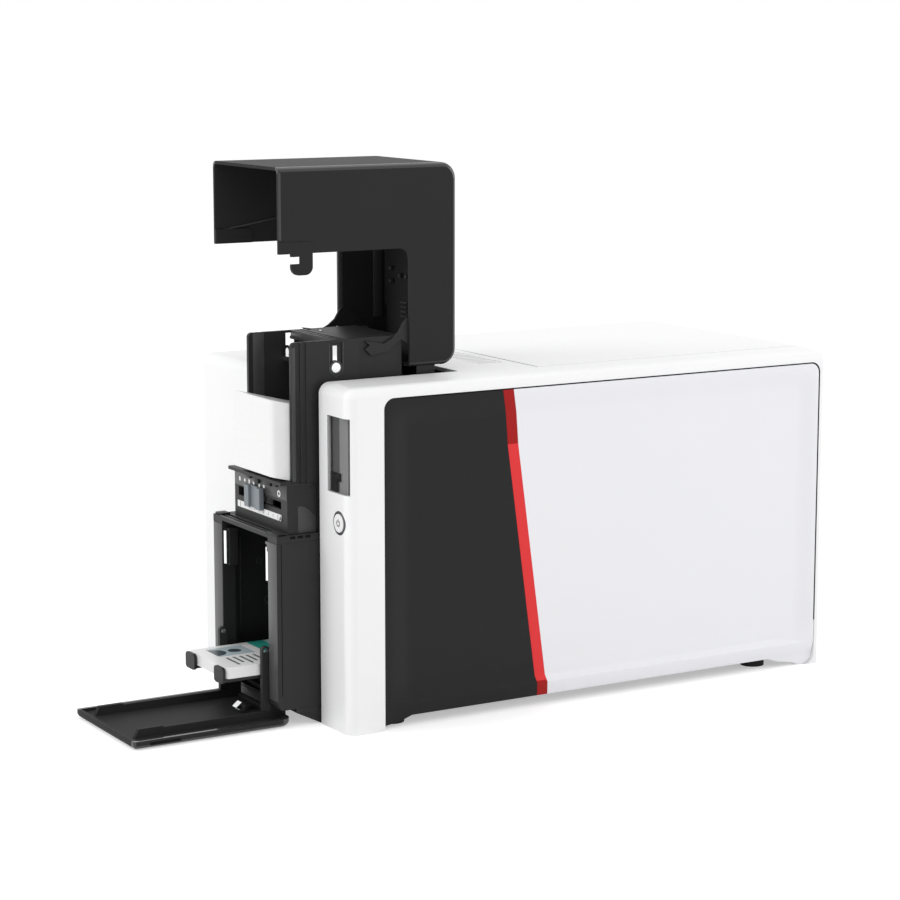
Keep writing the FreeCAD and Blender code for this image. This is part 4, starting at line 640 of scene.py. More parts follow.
def rectangle(first_low, first_high, second_low, second_high):
    return [(first_low, second_low), (first_high, second_low), (first_high, second_high),
            (first_low, second_high)]


# %% Turned rings and discs
TURN_STEPS = 40
DISC_STEPS = 32
DISC_ROUND_SHARE = 0.15


def turned(name, axis, centre, profile, slot, body, look=None, angle=math.tau, start=0.0):
    """A profile of (radius, level) points, spun about an axis through the centre."""
    work = bmesh.new()
    direction = on_axis(axis, 0, 0, 1).normalized()
    turn = Matrix.Rotation(start, 4, direction)
    middle = on_axis(axis, *centre, 0)
    rim = [work.verts.new(middle + turn @ on_axis(axis, radius, 0, level)) for radius, level in profile]
    face = work.faces.new(rim)
    whole = abs(angle - math.tau) < 0.001
    steps = max(6, round(TURN_STEPS * angle / math.tau))
    bmesh.ops.spin(work, geom=[face, *face.verts, *face.edges], cent=middle, axis=direction, angle=angle,
                   steps=steps, use_merge=whole, use_duplicate=False)
    if whole:
        inner = [item for item in work.faces if item.is_valid and len(item.verts) == len(profile)
                 and all(vert in rim for vert in item.verts)]
        bmesh.ops.delete(work, geom=inner, context="FACES_ONLY")
    bmesh.ops.remove_doubles(work, verts=work.verts, dist=WELD / 4)
    bmesh.ops.recalc_face_normals(work, faces=work.faces)
    return finished(name, work, slot, body, look)


def ring(name, axis, centre, inner, outer, low, high, slot, body, look=None):
    profile = [(inner, low), (outer, low), (outer, high), (inner, high)]
    return turned(name, axis, centre, profile, slot, body, look)


def disc(name, axis, centre, radius, low, high, slot, body, look=None):
    work = bmesh.new()
    bmesh.ops.create_cone(work, cap_ends=True, segments=DISC_STEPS, radius1=radius * MM, radius2=radius * MM,
                          depth=(high - low) * MM)
    pose = on_axis(axis, 0, 0, 1).normalized().to_track_quat("Z", "Y").to_matrix()
    bmesh.ops.rotate(work, cent=(0, 0, 0), matrix=pose, verts=work.verts)
    bmesh.ops.translate(work, vec=on_axis(axis, *centre, (low + high) / 2), verts=work.verts)
    bevel_sharp(work, min(radius, high - low) * DISC_ROUND_SHARE * MM)
    return finished(name, work, slot, body, look)


# %% [markdown]
# ## Stacks of cards
# A stack of plastic cards is not a block: sixty thin sheets with rounded corners show as fine lines, and
# no two lie quite in line. Each card is a cube scaled flat, with its four upright edges bevelled to the
# standard radius of 3.18 mm, then shifted by a few hundredths of a millimetre. The blank cards lie on a
# sloping floor, so that stack is sheared: each point drops in proportion to how far back it lies.

# %% One card
CARD_THICKNESS = 0.76
CARD_CORNER = 3.18
CARD_SHIFT = 0.12
CARD_SHARE = 0.94


def add_card(work, size, middle):
    """A flat cube with its four upright edges rounded."""
    card = bmesh.ops.create_cube(work, size=1)["verts"]
    bmesh.ops.scale(work, vec=size * MM, verts=card)
    bmesh.ops.translate(work, vec=middle * MM, verts=card)
    upright = {edge for vert in card for edge in vert.link_edges
               if abs(edge.verts[0].co.z - edge.verts[1].co.z) > size.z / 2 * MM}
    bmesh.ops.bevel(work, geom=list(upright), offset=CARD_CORNER * MM, offset_type="OFFSET", affect="EDGES",
                    segments=4, profile=0.5, material=-1, clamp_overlap=True)


# %% Stacks of cards


def card_stack(name, node, slot, body, drop=0.0):
    """Separate cards that fill the node's box, of which the last part of the height is the slope's drop."""
    shifts = random.Random(node)
    low, high = corners(node)
    run = high.y - low.y
    height = high.z - low.z - drop
    count = round(height / CARD_THICKNESS)
    pitch = height / count
    size = Vector((high.x - low.x - 2 * CARD_SHIFT, run - 2 * CARD_SHIFT, pitch * CARD_SHARE))
    work = bmesh.new()
    for index in range(count):
        shift = Vector((shifts.uniform(-CARD_SHIFT, CARD_SHIFT), shifts.uniform(-CARD_SHIFT, CARD_SHIFT), 0))
        middle = Vector(((low.x + high.x) / 2, (low.y + high.y) / 2, low.z + drop + pitch * (index + 0.5)))
        if index == count - 1:
            middle.z = high.z - size.z / 2
        add_card(work, size, middle + shift)
    if drop:
        slope = Matrix.Identity(4)
        slope[2][1] = -drop / run
        slope[2][3] = drop / run * low.y * MM
        bmesh.ops.transform(work, matrix=slope, verts=work.verts)
    piece = finished(name, work, slot, body)
    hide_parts(node)
    print(name, "has", count, "cards")
    return piece


BLANK_STACK_HEIGHT = 47.0
blank_low, blank_high = corners("blank_cards")
blank_drop = blank_high.z - blank_low.z - BLANK_STACK_HEIGHT
card_stack("blank_card_stack", "blank_cards", "card_white", "machine", blank_drop)
card_stack("printed_card_stack", "printed_cards", "card_print", "tray")

# %% [markdown]
# ## The side panels' painted shadow line
# Each side panel is one big moulding let into the housing, and a dark shadow line shows along its upper
# and rear edges. The line is painted shadow: a thin near-black frame, a rectangle whose corners are
# bevelled to the panel's radius, inset by the line's width, with its middle deleted. Two cuts with
# bisect_plane leave the part that shows on the real machine.

# %% Painted shadow lines along the panels
SHADOW_LINE_WIDTH = 0.9
SHADOW_LINE_OVERLAP = 0.6
SHADOW_LINE_PROUD = 0.07
SHADOW_LINE_FRONT_END = 12
SHADOW_LINE_LOW_END = 30
PANEL_CORNER = 7.0
PANEL_FACE = 102.2
PANEL_FLOOR = 99.2


def panel_painted_shadow(side, sign):
    low, high = corners(f"{side}_rear_panel_skin")
    front = corners(f"{side}_front_panel")[0].y
    edge = SHADOW_LINE_WIDTH - SHADOW_LINE_OVERLAP
    outer = rectangle(front - edge, high.y + edge, low.z - PANEL_CORNER, high.z + edge)
    work = bmesh.new()
    points = [work.verts.new(on_axis("x", first, second, PANEL_FLOOR * sign)) for first, second in outer]
    work.faces.new(points)
    round_corners(work, points, PANEL_CORNER + edge, 8)
    middle = work.faces[:]
    bmesh.ops.inset_region(work, faces=middle, thickness=SHADOW_LINE_WIDTH * MM, use_boundary=True,
                           use_even_offset=True)
    bmesh.ops.delete(work, geom=middle, context="FACES")
    cuts = ((on_axis("x", 0, low.z + SHADOW_LINE_LOW_END, 0), (0, 0, -1)),
            (on_axis("x", front + SHADOW_LINE_FRONT_END, 0, 0), (0, -1, 0)))
    for place, normal in cuts:
        bmesh.ops.bisect_plane(work, geom=work.verts[:] + work.edges[:] + work.faces[:], dist=WELD / 20,
                               plane_co=place, plane_no=normal, clear_outer=True)
    thicken(work, "x", (PANEL_FACE + SHADOW_LINE_PROUD - PANEL_FLOOR) * sign)
    # The near-black frame is painted shadow in the gap along the panel.
    return finished(f"{side}_panel_painted_shadow", work, "black_panel", "machine", "painted_recess_shade")


for side, sign in (("right", 1), ("left", -1)):
    shadow_line = panel_painted_shadow(side, sign)
    print(shadow_line.name, "faces:", len(shadow_line.data.polygons))

# %% [markdown]
# ## Button
# The cap carries the plain on-off sign that every such button has: a broken ring and a bar. The ring is a
# small square profile spun through most of a turn, so its ends stay open at the top, where the bar
# stands.

# %% Sign on the button
BUTTON = (90.7, 129.8)
SIGN_HEIGHT = 0.12
SIGN_ROOT = 0.2
SIGN_GAP = math.radians(70)
SIGN_INNER = 1.5
SIGN_OUTER = 2.1
SIGN_BAR = (0.3, 2.5)
cap_face = corners("power_button")[0].y
sign_near = cap_face - SIGN_HEIGHT
sign_far = cap_face + SIGN_ROOT
sign_profile = [(SIGN_INNER, sign_near), (SIGN_OUTER, sign_near), (SIGN_OUTER, sign_far),
                (SIGN_INNER, sign_far)]
turned("button_sign_ring", "y", BUTTON, sign_profile, "button_ring", "button", "mark_grey",
       math.tau - SIGN_GAP, SIGN_GAP / 2 - math.pi / 2)
bar("button_sign_bar", (BUTTON[0] - SIGN_BAR[0], sign_near, BUTTON[1] + SIGN_BAR[0]),
    (BUTTON[0] + SIGN_BAR[0], sign_far, BUTTON[1] + SIGN_BAR[1]), "button_ring", "button", "mark_grey", 0.05)

# %% [markdown]
# ## Window
# The window's opening is deeper than the pane is thick, and from the side its inner wall shows. A grey
# liner covers that wall. Its grey is lighter than the wall's own, as painted light against the shade in
# the opening.

# %% Window liner
LINER_DEPTH = (1.0, 1.95)
LINER_LEFT = 0.05
LINER_RIGHT = 0.6
window_low, window_high = corners("display_window")
bar("window_liner", (window_low.x + LINER_LEFT, behind(LINER_DEPTH[0]), window_low.z + SUNK),
    (window_low.x + LINER_RIGHT, behind(LINER_DEPTH[1]), window_high.z - SUNK), "display_grey", "machine",
    "liner_painted_light", 0.05)

# %% [markdown]
# ## Raised cover
# Inside the cover run a ledge along the left wall and an upright rib in the leg's corner. The front edge
# of the right wall has a flat bead, the edge of the leg has a lip, and the back of the leg is stiffened by
# a few low bosses and bars. The lip is a lighter grey as a painted highlight, and the bead, the ledge, the
# rib, the bosses and the bars a less light grey as a soft painted highlight.

# %% Cover: bead, ledge and lip
COVER_WALL = 2.0
HEAD_BOTTOM = 291.6
LEG_DEPTH = 33.9
BEAD_WIDTH = 1.6
BEAD_PROUD = 0.3
BEAD_TOP_GAP = 3.1
LEDGE_LEVEL = 298.3
LEDGE_THICK = 0.9
LEDGE_RISE = 14.0
LEDGE_PROUD = 0.6
cover_low, cover_high = corners("cover_shell")
inner_left = cover_low.x + COVER_WALL
inner_back = cover_high.y - COVER_WALL
leg_front = cover_high.y - LEG_DEPTH
bead_start = cover_low.y + SUNK
# The bead and the ledge are lighter grey as a soft painted highlight.
bead = rectangle(bead_start, bead_start + BEAD_WIDTH, LEDGE_LEVEL, cover_high.z - BEAD_TOP_GAP)
plate("cover_front_bead", "x", bead, cover_high.x - SUNK, cover_high.x + BEAD_PROUD, *COVER, "satin_band",
      0.4, 0.12)
ledge_start = cover_low.y + 0.6
ledge_end = leg_front - 2.1
ledge = [(ledge_start, LEDGE_LEVEL - LEDGE_THICK), (ledge_end, LEDGE_LEVEL - LEDGE_THICK + LEDGE_RISE),
         (ledge_end, LEDGE_LEVEL + LEDGE_RISE), (ledge_start, LEDGE_LEVEL)]
plate("cover_inner_ledge", "x", ledge, inner_left - SUNK, inner_left + LEDGE_PROUD, *COVER, "satin_band",
      0.0, 0.15)
# The lip's lighter grey is a painted highlight along the leg's edge.
bar("cover_leg_lip", (cover_low.x + 0.05, leg_front - 3.1, cover_low.z + 3.5),
    (inner_left, leg_front + 0.5, HEAD_BOTTOM), *COVER, "satin_edge", 0.4)
print("cover ledge rises", LEDGE_RISE, "mm")

# %% Cover: rib, bosses and bars
RIB_BACK_GAP = 5.5
RIB_BOTTOM_GAP = 21.5
RIB_TOP_GAP = 15.5
RIB_WIDTH = 6.0
RIB_PROUD = 1.6
BOSS_RADIUS = 1.4
BOSS_HEIGHT = 3.1
BOSS_PLACES = ((-12, 270), (-12, 262), (0, 266), (8, 266))
STIFFENER_START = 240
STIFFENER_PITCH = 3
STIFFENER_SPAN = (2, 10)
rib_end = cover_high.y - RIB_BACK_GAP
# The rib, the bosses and the bars are lighter grey as a soft painted highlight.
bar("cover_corner_rib", (inner_left - SUNK, rib_end - RIB_WIDTH, cover_low.z + RIB_BOTTOM_GAP),
    (inner_left + RIB_PROUD, rib_end, cover_high.z - RIB_TOP_GAP), *COVER, "satin_band", 0.3)
for number, place in enumerate(BOSS_PLACES):
    disc(f"cover_boss_{number}", "y", place, BOSS_RADIUS, inner_back - BOSS_HEIGHT, inner_back + SUNK,
         *COVER, "satin_band")
for number in range(4):
    level = STIFFENER_START + STIFFENER_PITCH * number
    bar(f"cover_back_bar_{number}", (STIFFENER_SPAN[0], inner_back - 3.4, level),
        (STIFFENER_SPAN[1], inner_back - 1.3, level + 1), *COVER, "satin_band", 0.15)
print("cover bosses:", len(BOSS_PLACES), "rib:", RIB_WIDTH, "mm wide")

# %% [markdown]
# ## Feeder
# The left wall carries a raised flat band near its front, and upright ridges close the front of the deck.
# A bright steel strip lines the pin's slot in the right wall, and a thin collar runs around it. The
# weight has a small loop handle, and one screw holds the deck.

# %% Feeder: bands and ridges
BAND_BOTTOM = 153
BAND_DEPTHS = (-13.5, -5.8)
EDGE_BOTTOM = 152
EDGE_DEPTHS = (-16.3, -13.8)
DECK_SPAN = (4.8, 58.9)
RIDGE_WIDTH = 1.3
RIDGES = ((12.6, 3.7, 0.3), (15.8, 3.0, 0.4), (20.4, 2.1, 0.3))
left_wall_high = corners("feeder_left_wall")[1]
right_wall_low, right_wall_high = corners("feeder_right_wall")
# The band, the deck ridges, the right edge, the ring and the collar are lighter grey as a soft painted
# highlight.
band = rectangle(behind(BAND_DEPTHS[0]), behind(BAND_DEPTHS[1]), BAND_BOTTOM, left_wall_high.z - 0.4)
plate("feeder_left_band", "x", band, left_wall_high.x - SUNK, left_wall_high.x + 0.28, *MODULE,
      "satin_band", 0.0, 0.1)
for number, (depth, root, height) in enumerate(RIDGES):
    bar(f"deck_ridge_{number}", (DECK_SPAN[0], behind(depth), left_wall_high.z - root),
        (DECK_SPAN[1], behind(depth + RIDGE_WIDTH), left_wall_high.z + height), *MODULE, "satin_band",
        0.15)
edge_band = rectangle(behind(EDGE_DEPTHS[0]), behind(EDGE_DEPTHS[1]), EDGE_BOTTOM, right_wall_high.z - 3)
plate("feeder_right_edge", "x", edge_band, right_wall_high.x - SUNK, right_wall_high.x + 0.3, *MODULE,
      "satin_band", 0.8, 0.2)

# %% Feeder: slot
SLOT_MIDDLE = behind(14.2)
SLOT_HALF = 1.55
SLOT_SPAN = (218.4, 232.8)
HOLE_LEVEL = 219.5
COLLAR_HALF = 5.0
COLLAR_WALL = 0.6
COLLAR_LEVEL = 219.0
COLLAR_TOP = 234.6
COLLAR_STEPS = 12
COLLAR_PROUD = 0.2
HOLE_RADII = (3.3, 4.3)
bar("feeder_slot_strip", (right_wall_low.x + 0.05, SLOT_MIDDLE - SLOT_HALF, SLOT_SPAN[0]),
    (right_wall_low.x + 1.2, SLOT_MIDDLE + SLOT_HALF, SLOT_SPAN[1]), "bright_rod", "machine", None, 0.05)
ring("feeder_slot_ring", "x", (SLOT_MIDDLE, HOLE_LEVEL), *HOLE_RADII, right_wall_high.x - 1.0,
     right_wall_high.x - SUNK, *MODULE, "satin_band")
collar = []
turns = [math.pi * step / COLLAR_STEPS for step in range(COLLAR_STEPS + 1)]
for half, order in ((COLLAR_HALF, turns), (COLLAR_HALF - COLLAR_WALL, turns[::-1])):
    arc = [(SLOT_MIDDLE - half * math.cos(turn), COLLAR_LEVEL - half * math.sin(turn)) for turn in order]
    collar += [(arc[0][0], COLLAR_TOP), *arc, (arc[-1][0], COLLAR_TOP)]
plate("feeder_slot_collar", "x", collar, right_wall_high.x - SUNK, right_wall_high.x + COLLAR_PROUD,
      *MODULE, "satin_band", 0.0, 0.05)

# %% Feeder: the weight's loop and the deck's screw
LOOP_DEPTH = 9.6
LOOP_LEVEL = 222.8
LOOP_STRETCH = 2.1
LOOP_LEFT = 5.2
LOOP_WIDTH = 1.0
LOOP_RADII = (1.5, 2.3)
FOOT_WIDTH = 1.4
FOOT_SPAN = (217.4, 219.0)
SCREW_PLACE = (16.4, behind(27.8))
SCREW_RADIUS = 1.0
SCREW_SPAN = (236.3, 236.9)
loop = ring("weight_loop", "x", (behind(LOOP_DEPTH), LOOP_LEVEL), *LOOP_RADII, LOOP_LEFT,
            LOOP_LEFT + LOOP_WIDTH, "black_plate", "weight", "black_plate")
for vert in loop.data.vertices:
    vert.co.z = LOOP_LEVEL * MM + (vert.co.z - LOOP_LEVEL * MM) * LOOP_STRETCH
bar("weight_loop_foot", (LOOP_LEFT, behind(LOOP_DEPTH - 1), FOOT_SPAN[0]),
    (LOOP_LEFT + FOOT_WIDTH, behind(LOOP_DEPTH + 1), FOOT_SPAN[1]), "black_plate", "weight", None, 0.2)
disc("deck_screw", "z", SCREW_PLACE, SCREW_RADIUS, *SCREW_SPAN, "bright_rod", "machine")
print("deck ridges:", len(RIDGES))

# %% [markdown]
# ## Gauge
# The gauge sets the gate to the cards' thickness. Above the slider stand six plain marks, one for each
# step, and the white strip below has ticks and a pointer. A ring marks the end stop, and an arched boss
# hides the spring on the right side. The marks are thin plates, so they stay crisp at any distance.

# %% Gauge: marks and ticks
MARK_LEVEL = 144.6
MARK_PLACES = (-2.7, 4.3, 10.5, 16.6, 24.4, 30.7)
MARK_HALF_WIDTH = 1.1
MARK_HALF_HEIGHTS = (1.4, 1.0)
MARK_PROUD = 0.15
END_STOP = (51.0, 143.4)
END_STOP_RADII = (1.1, 2.1)
TICKS = 9
TICK_MARGIN = 4
TICK_HALF_WIDTH = 0.2
TICK_LONG = 1.5
TICK_SHORT = 0.9
LONG_TICK_EVERY = 4
gauge_face = behind(-20)
mark_levels = (gauge_face - MARK_PROUD, gauge_face + SUNK)
for number, place in enumerate(MARK_PLACES):
    size = MARK_HALF_HEIGHTS[number % 2]
    mark = rectangle(place - MARK_HALF_WIDTH, place + MARK_HALF_WIDTH, MARK_LEVEL - size, MARK_LEVEL + size)
    plate(f"gauge_mark_{number}", "y", mark, *mark_levels, "scale_label", "machine", "mark_white", 0.7, 0.0)
ring("gauge_ring_mark", "y", END_STOP, *END_STOP_RADII, *mark_levels, "scale_label", "machine",
     "mark_white")
strip_low, strip_high = corners("gauge_scale_strip")
strip_middle = (strip_low.z + strip_high.z) / 2
tick_pitch = (strip_high.x - strip_low.x - 2 * TICK_MARGIN) / (TICKS - 1)
for number in range(TICKS):
    place = strip_low.x + TICK_MARGIN + number * tick_pitch
    tall = TICK_LONG if number % LONG_TICK_EVERY == 0 else TICK_SHORT
    bar(f"gauge_tick_{number}", (place - TICK_HALF_WIDTH, strip_low.y - 0.06, strip_middle - tall),
        (place + TICK_HALF_WIDTH, strip_low.y + SUNK, strip_middle + tall), "scale_label", "machine",
        "mark_grey", 0.0)
POINTER_PLACE = 53.4
POINTER_HALF = 1.8
pointer = [(POINTER_PLACE, strip_high.z - 0.4), (POINTER_PLACE - POINTER_HALF, strip_high.z - 4.2),
           (POINTER_PLACE, strip_high.z - 3.2), (POINTER_PLACE + POINTER_HALF, strip_high.z - 4.2)]
plate("gauge_pointer", "y", pointer, strip_low.y - 0.05, strip_low.y + SUNK, "scale_label", "machine",
      "mark_grey", 0.0, 0.0)

# %% Gauge: housing
SIDE_PROUD = 0.22
STUD_TOP = 150.0
SKIN_MARGIN = 0.5
SKIN_SPAN = (140.4, 149.4)
BOSS_OUTLINE = ((-12.8, 119.7), (-12.8, 137.0), (-8.6, 136.2), (-0.4, 129.6), (-0.4, 119.7))
BOSS_ARCH = (1, 2)
LIP_OUTLINE = ((-20, 150.0), (-0.5, 146.6), (-0.5, 149.8), (-20, 151.6))
STUDS = ((8.5, 14.5, 147.4), (19.5, 25.5, 145.6), (33, 42, 146.6), (45, 50, 147.4))
for number, (left, right, low) in enumerate(STUDS):
    bar(f"gauge_lip_stud_{number}", (left, gauge_face - 1.6, low), (right, gauge_face + SUNK, STUD_TOP),
        *MODULE, None, 0.3)
gauge_low, gauge_high = corners("gauge_housing")
gauge_side = (gauge_high.x - SUNK, gauge_high.x + SIDE_PROUD)
# The side boss and the face skin are lighter grey as a soft painted highlight.
plate("gauge_side_boss", "x", side_outline(BOSS_OUTLINE), *gauge_side, *MODULE, "satin_band", 2.0, 0.1,
      BOSS_ARCH)
plate("gauge_side_lip", "x", side_outline(LIP_OUTLINE), *gauge_side, *MODULE, None, 0.0, 0.1)
skin = rectangle(gauge_low.x + SKIN_MARGIN, gauge_high.x - SKIN_MARGIN, *SKIN_SPAN)
plate("gauge_face_skin", "y", skin, gauge_face - 0.12, gauge_face + 0.05, *MODULE, "satin_band", 0.6, 0.04)
print("gauge marks:", len(MARK_PLACES), "ticks:", TICKS)

# %% [markdown]
# ## Hopper
# The hopper's front frame is painted a lighter grey than its sides, as a painted highlight for the light
# that falls on its front. It has a ledge on top whose right end is a stepped block with a slot, and the
# slot is near black as painted shade. Inside are an upright rib and a few ring bosses in a lighter grey as
# a soft painted highlight, and a low sill closes the space under the front.

# %% Hopper: front frame
ROOF_LEDGE = 4.5
POST_SKIN = 0.16
POST_BOTTOM = 16.5
POST_TOP = 114.6
POST_MARGIN = 0.5
POST_LEFT_EDGE = -12.2
POST_RIGHT_EDGE = 52.1
hopper_low, hopper_high = corners("hopper_shell")
roof_high = hopper_high.z + ROOF_LEDGE
post_right = hopper_high.x - POST_MARGIN
left_post = rectangle(hopper_low.x + POST_MARGIN, POST_LEFT_EDGE, POST_BOTTOM, POST_TOP)
right_post = [(POST_RIGHT_EDGE, POST_BOTTOM), (post_right, POST_BOTTOM), (post_right, POST_TOP),
              (49.0, POST_TOP), (49.0, 112.8), (50.6, 112.8), (50.6, 108.5), (POST_RIGHT_EDGE, 108.5)]
# The post faces are lighter grey as a painted highlight on the front.
for name, outline in (("left", left_post), ("right", right_post)):
    plate(f"hopper_{name}_post_face", "y", outline, hopper_low.y - POST_SKIN, hopper_low.y + SUNK,
          *MODULE, "satin_edge", 0.0, 0.06)

# %% Hopper: roof
# The ridges are lighter grey as painted highlight on the ledge; the end slot is near black as painted shade.
ROOF_RIDGES = ((0.1, 0.5, "satin_edge"), (3.4, 0.35, "satin_band"), (7.6, 0.3, "satin_band"))
ROOF_RIDGE_WIDTH = 1.1
ROOF_RIDGE_ROOT = 1.3
BLOCK_ROOT = 0.4
for number, (depth, height, look) in enumerate(ROOF_RIDGES):
    near = hopper_low.y + depth
    bar(f"hopper_roof_ridge_{number}", (hopper_low.x + 9.5, near, roof_high - ROOF_RIDGE_ROOT),
        (hopper_high.x - 14.5, near + ROOF_RIDGE_WIDTH, roof_high + height), *MODULE, look, 0.2)
bar("hopper_roof_left_block", (hopper_low.x + 0.4, hopper_low.y + 1.0, roof_high - BLOCK_ROOT),
    (hopper_low.x + 8.5, hopper_low.y + 8.0, roof_high + 1.3), *MODULE, None, 0.5)
bar("hopper_roof_end_block", (hopper_high.x - 13.8, hopper_low.y + 0.2, roof_high - BLOCK_ROOT),
    (hopper_high.x - 0.3, hopper_low.y + 7.8, roof_high + 1.6), *MODULE, None, 0.4)
bar("hopper_roof_end_slot", (hopper_high.x - 0.6, hopper_low.y + 1.2, roof_high + 0.1),
    (hopper_high.x - 0.22, hopper_low.y + 6.6, roof_high + 1.1), *MODULE, "painted_recess_shade", 0.05)

# %% Hopper: right side
# The notches and the seam line are near-black strips of painted shade in place of recesses.
NOTCH_STARTS = (-19.6, -14.4, -9.2)
NOTCH_LENGTH = 3.6
for number, start in enumerate(NOTCH_STARTS):
    bar(f"hopper_side_notch_{number}", (hopper_high.x - SUNK, behind(start), roof_high - 2.2),
        (hopper_high.x + 0.12, behind(start + NOTCH_LENGTH), roof_high - 0.6), *MODULE, "painted_recess_shade",
        0.03)
bar("hopper_side_seam", (hopper_high.x - SUNK, hopper_low.y + 2.6, 20),
    (hopper_high.x + 0.06, hopper_low.y + 3.1, POST_TOP), *MODULE, "painted_recess_shade", 0.02)
print("side notches:", len(NOTCH_STARTS))

# %% Hopper: inside
INSIDE_SUNK = 0.3
RING_WIDTH = 0.7
RING_PROUD = 0.8
INSIDE_RINGS = ((2, 86, 2.2), (8, 60, 2.6), (20, 98, 1.8))
SILL_LOW = (-19.0, behind(-16.0), 1.0)
SILL_HIGH = (46.0, behind(-14.4), 10.9)
inside_left = hopper_low.x + 2.0
# The rib and the rings are lighter grey as a soft painted highlight.
bar("hopper_inside_rib", (inside_left - INSIDE_SUNK, behind(-12.0), 40),
    (inside_left + 1.4, behind(-11.2), 104), *MODULE, "satin_band", 0.3)
for number, (depth, level, radius) in enumerate(INSIDE_RINGS):
    ring(f"hopper_inside_ring_{number}", "x", (behind(depth), level), radius - RING_WIDTH, radius,
         inside_left - INSIDE_SUNK, inside_left + RING_PROUD, *MODULE, "satin_band")
bar("hopper_sill", SILL_LOW, SILL_HIGH, *MODULE, None, 0.3)
print("hopper rings:", len(INSIDE_RINGS))

# %% [markdown]
# ## Door
# The door's inner side carries a bright leaf spring on a dark clip, and a finger groove runs along the
# outside of each long edge, drawn as a near-black strip of painted shade. The leaf is one slanted strip,
# extruded across the door.

# %% Door details
LEAF_LEFT = 15.5
LEAF_WIDTH = 5.6
LEAF_OUTLINE = ((-36.4, 4.4), (-32.6, 7.4), (-32.2, 6.9), (-36.0, 3.9))
CLIP_LOW = (14.5, behind(-33.0), 3.4)
CLIP_HIGH = (26.5, behind(-28.2), 6.6)
GROOVE_DEPTHS = (-114, -94)
GROOVE_LEVELS = (2.3, 4.1)
GROOVE_PROUD = 0.08
door_low, door_high = corners("hopper_flap")
plate("door_spring_leaf", "x", side_outline(LEAF_OUTLINE), LEAF_LEFT, LEAF_LEFT + LEAF_WIDTH, "bright_rod",
      "flap", None, 0.0, 0.0)
bar("door_spring_clip", CLIP_LOW, CLIP_HIGH, "charcoal_cover", "flap", None, 0.5)
# Each groove is a near-black strip of painted shade.
for side, edge, sign in (("right", door_high.x, 1), ("left", door_low.x, -1)):
    near, far = sorted((edge - SUNK * sign, edge + GROOVE_PROUD * sign))
    bar(f"door_{side}_groove", (near, behind(GROOVE_DEPTHS[0]), GROOVE_LEVELS[0]),
        (far, behind(GROOVE_DEPTHS[1]), GROOVE_LEVELS[1]), "charcoal_cover", "flap", "painted_recess_shade", 0.03)
print("door leaf width:", LEAF_WIDTH, "mm")

# %% [markdown]
# ## Camera
# The photograph was taken with a long lens from the right and a little above. The eye point and the two
# angles were fitted to the straight edges of the body, whose real sizes are known.

# %% Camera
PHOTO_AZIMUTH = math.radians(59.35)
PHOTO_ELEVATION = math.radians(9.55)
EYE = Vector((1.4279, -0.8313, 0.4292))
SENSOR = 36
LENS = 103
camera_data = bpy.data.cameras.new("photo_camera")
camera_data.sensor_width = SENSOR
camera_data.lens = LENS
camera = bpy.data.objects.new("photo_camera", camera_data)
bpy.context.scene.collection.objects.link(camera)
gaze = Vector((-math.sin(PHOTO_AZIMUTH) * math.cos(PHOTO_ELEVATION),
               math.cos(PHOTO_AZIMUTH) * math.cos(PHOTO_ELEVATION), -math.sin(PHOTO_ELEVATION)))
camera.location = EYE
camera.rotation_euler = gaze.to_track_quat("-Z", "Y").to_euler()
bpy.context.scene.camera = camera
print("lens:", LENS, "mm")

# %% [markdown]
# ## Studio
# The machine stands on a plain pale floor in soft light: an even sky for the ambient light and four large
# lamps. The floor and the sky are white to the camera and in reflections, and dimmer as sources of light,
# so the machine keeps its shadow and its colours.

# %% Rays that see the white background
SHOWN_RAYS = ("Is Camera Ray", "Is Glossy Ray", "Is Transmission Ray")


def shown_rays(graph):
    """1 for the rays that the background is white to, 0 for the others."""
    kinds = [graph.node("ShaderNodeLightPath", result=kind) for kind in SHOWN_RAYS]
    return kinds[0].math("MAXIMUM", kinds[1]).math("MAXIMUM", kinds[2])


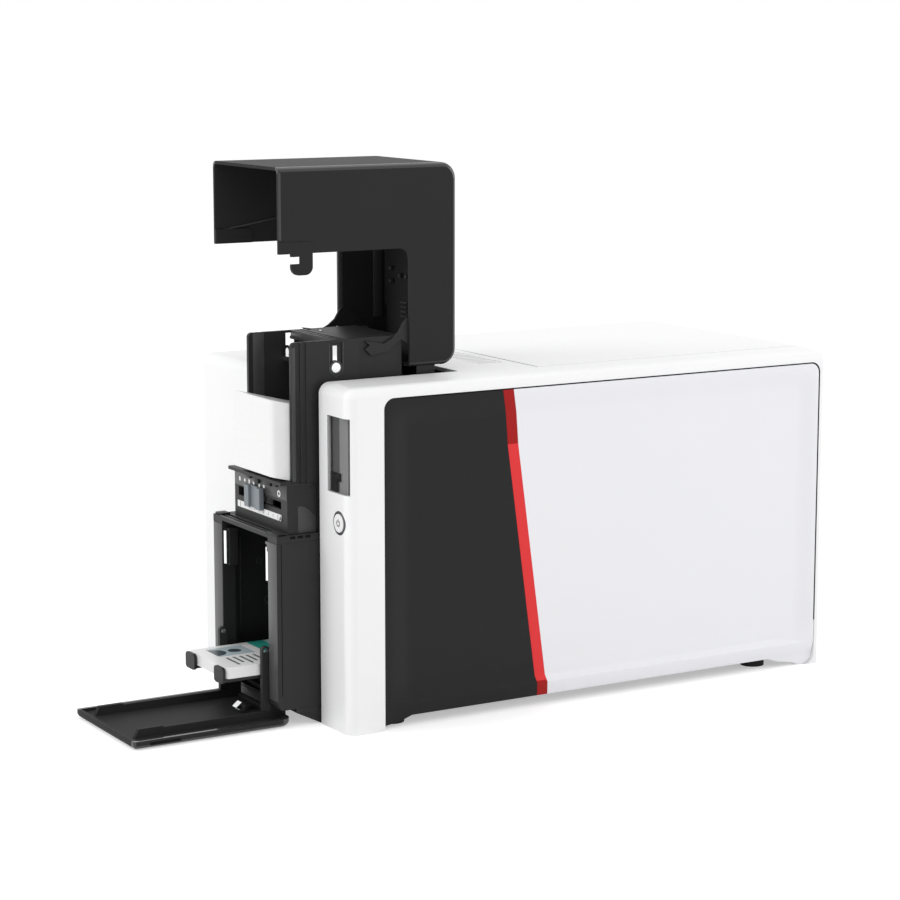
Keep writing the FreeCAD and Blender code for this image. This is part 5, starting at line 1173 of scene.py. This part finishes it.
# %% Floor
FLOOR_SIZE = 30.0
FLOOR_CLOUD = 1.5
FLOOR_GLOW = 0.43
floor_work = bmesh.new()
bmesh.ops.create_grid(floor_work, x_segments=1, y_segments=1, size=FLOOR_SIZE / 2)
floor_mesh = bpy.data.meshes.new("floor")
floor_work.to_mesh(floor_mesh)
floor_work.free()
floor = bpy.data.objects.new("floor", floor_mesh)
bpy.context.scene.collection.objects.link(floor)
floor_finish = Finish("pale_floor", roughness=0.9, specular_ior_level=0.0)
floor_cloud = floor_finish.noise(FLOOR_CLOUD)
floor_finish.set("Base Color", floor_finish.mix(floor_cloud, (0.84, 0.84, 0.845), (0.86, 0.86, 0.865)))
floor_finish.set("Emission Color", (1, 1, 1))
floor_finish.set("Emission Strength", shown_rays(floor_finish) * FLOOR_GLOW)
floor_mesh.materials.append(floor_finish.material)

# %% Sky
SKY_LIGHT = 0.68
world = bpy.data.worlds.new("studio")
bpy.context.scene.world = world
world.use_nodes = True
sky = Graph(world.node_tree)
strength = shown_rays(sky) * (1 - SKY_LIGHT) + SKY_LIGHT
background = sky.node("ShaderNodeBackground", {}, {"Color": (1, 1, 1), "Strength": strength})
sky.node("ShaderNodeOutputWorld", {}, {"Surface": background})

# %% Lamps
CENTRE = (0, 0, 0.15)
LAMPS = {
    "key_lamp": ((-0.5, -2.0, 1.3), 1.2, 16),
    "side_lamp": ((1.9, -0.2, 1.3), 1.2, 7),
    "top_lamp": ((-0.2, 0.2, 2.0), 1.6, 6),
    "back_lamp": ((0.9, 1.9, 0.7), 1.0, 8),
}
for name, (place, size, power) in LAMPS.items():
    lamp_data = bpy.data.lights.new(name, "AREA")
    lamp_data.shape = "SQUARE"
    lamp_data.size = size
    lamp_data.energy = power
    lamp = bpy.data.objects.new(name, lamp_data)
    bpy.context.scene.collection.objects.link(lamp)
    lamp.location = place
    lamp.rotation_euler = (Vector(CENTRE) - Vector(place)).to_track_quat("-Z", "Y").to_euler()

# %% View settings
bpy.context.scene.view_settings.view_transform = "Standard"
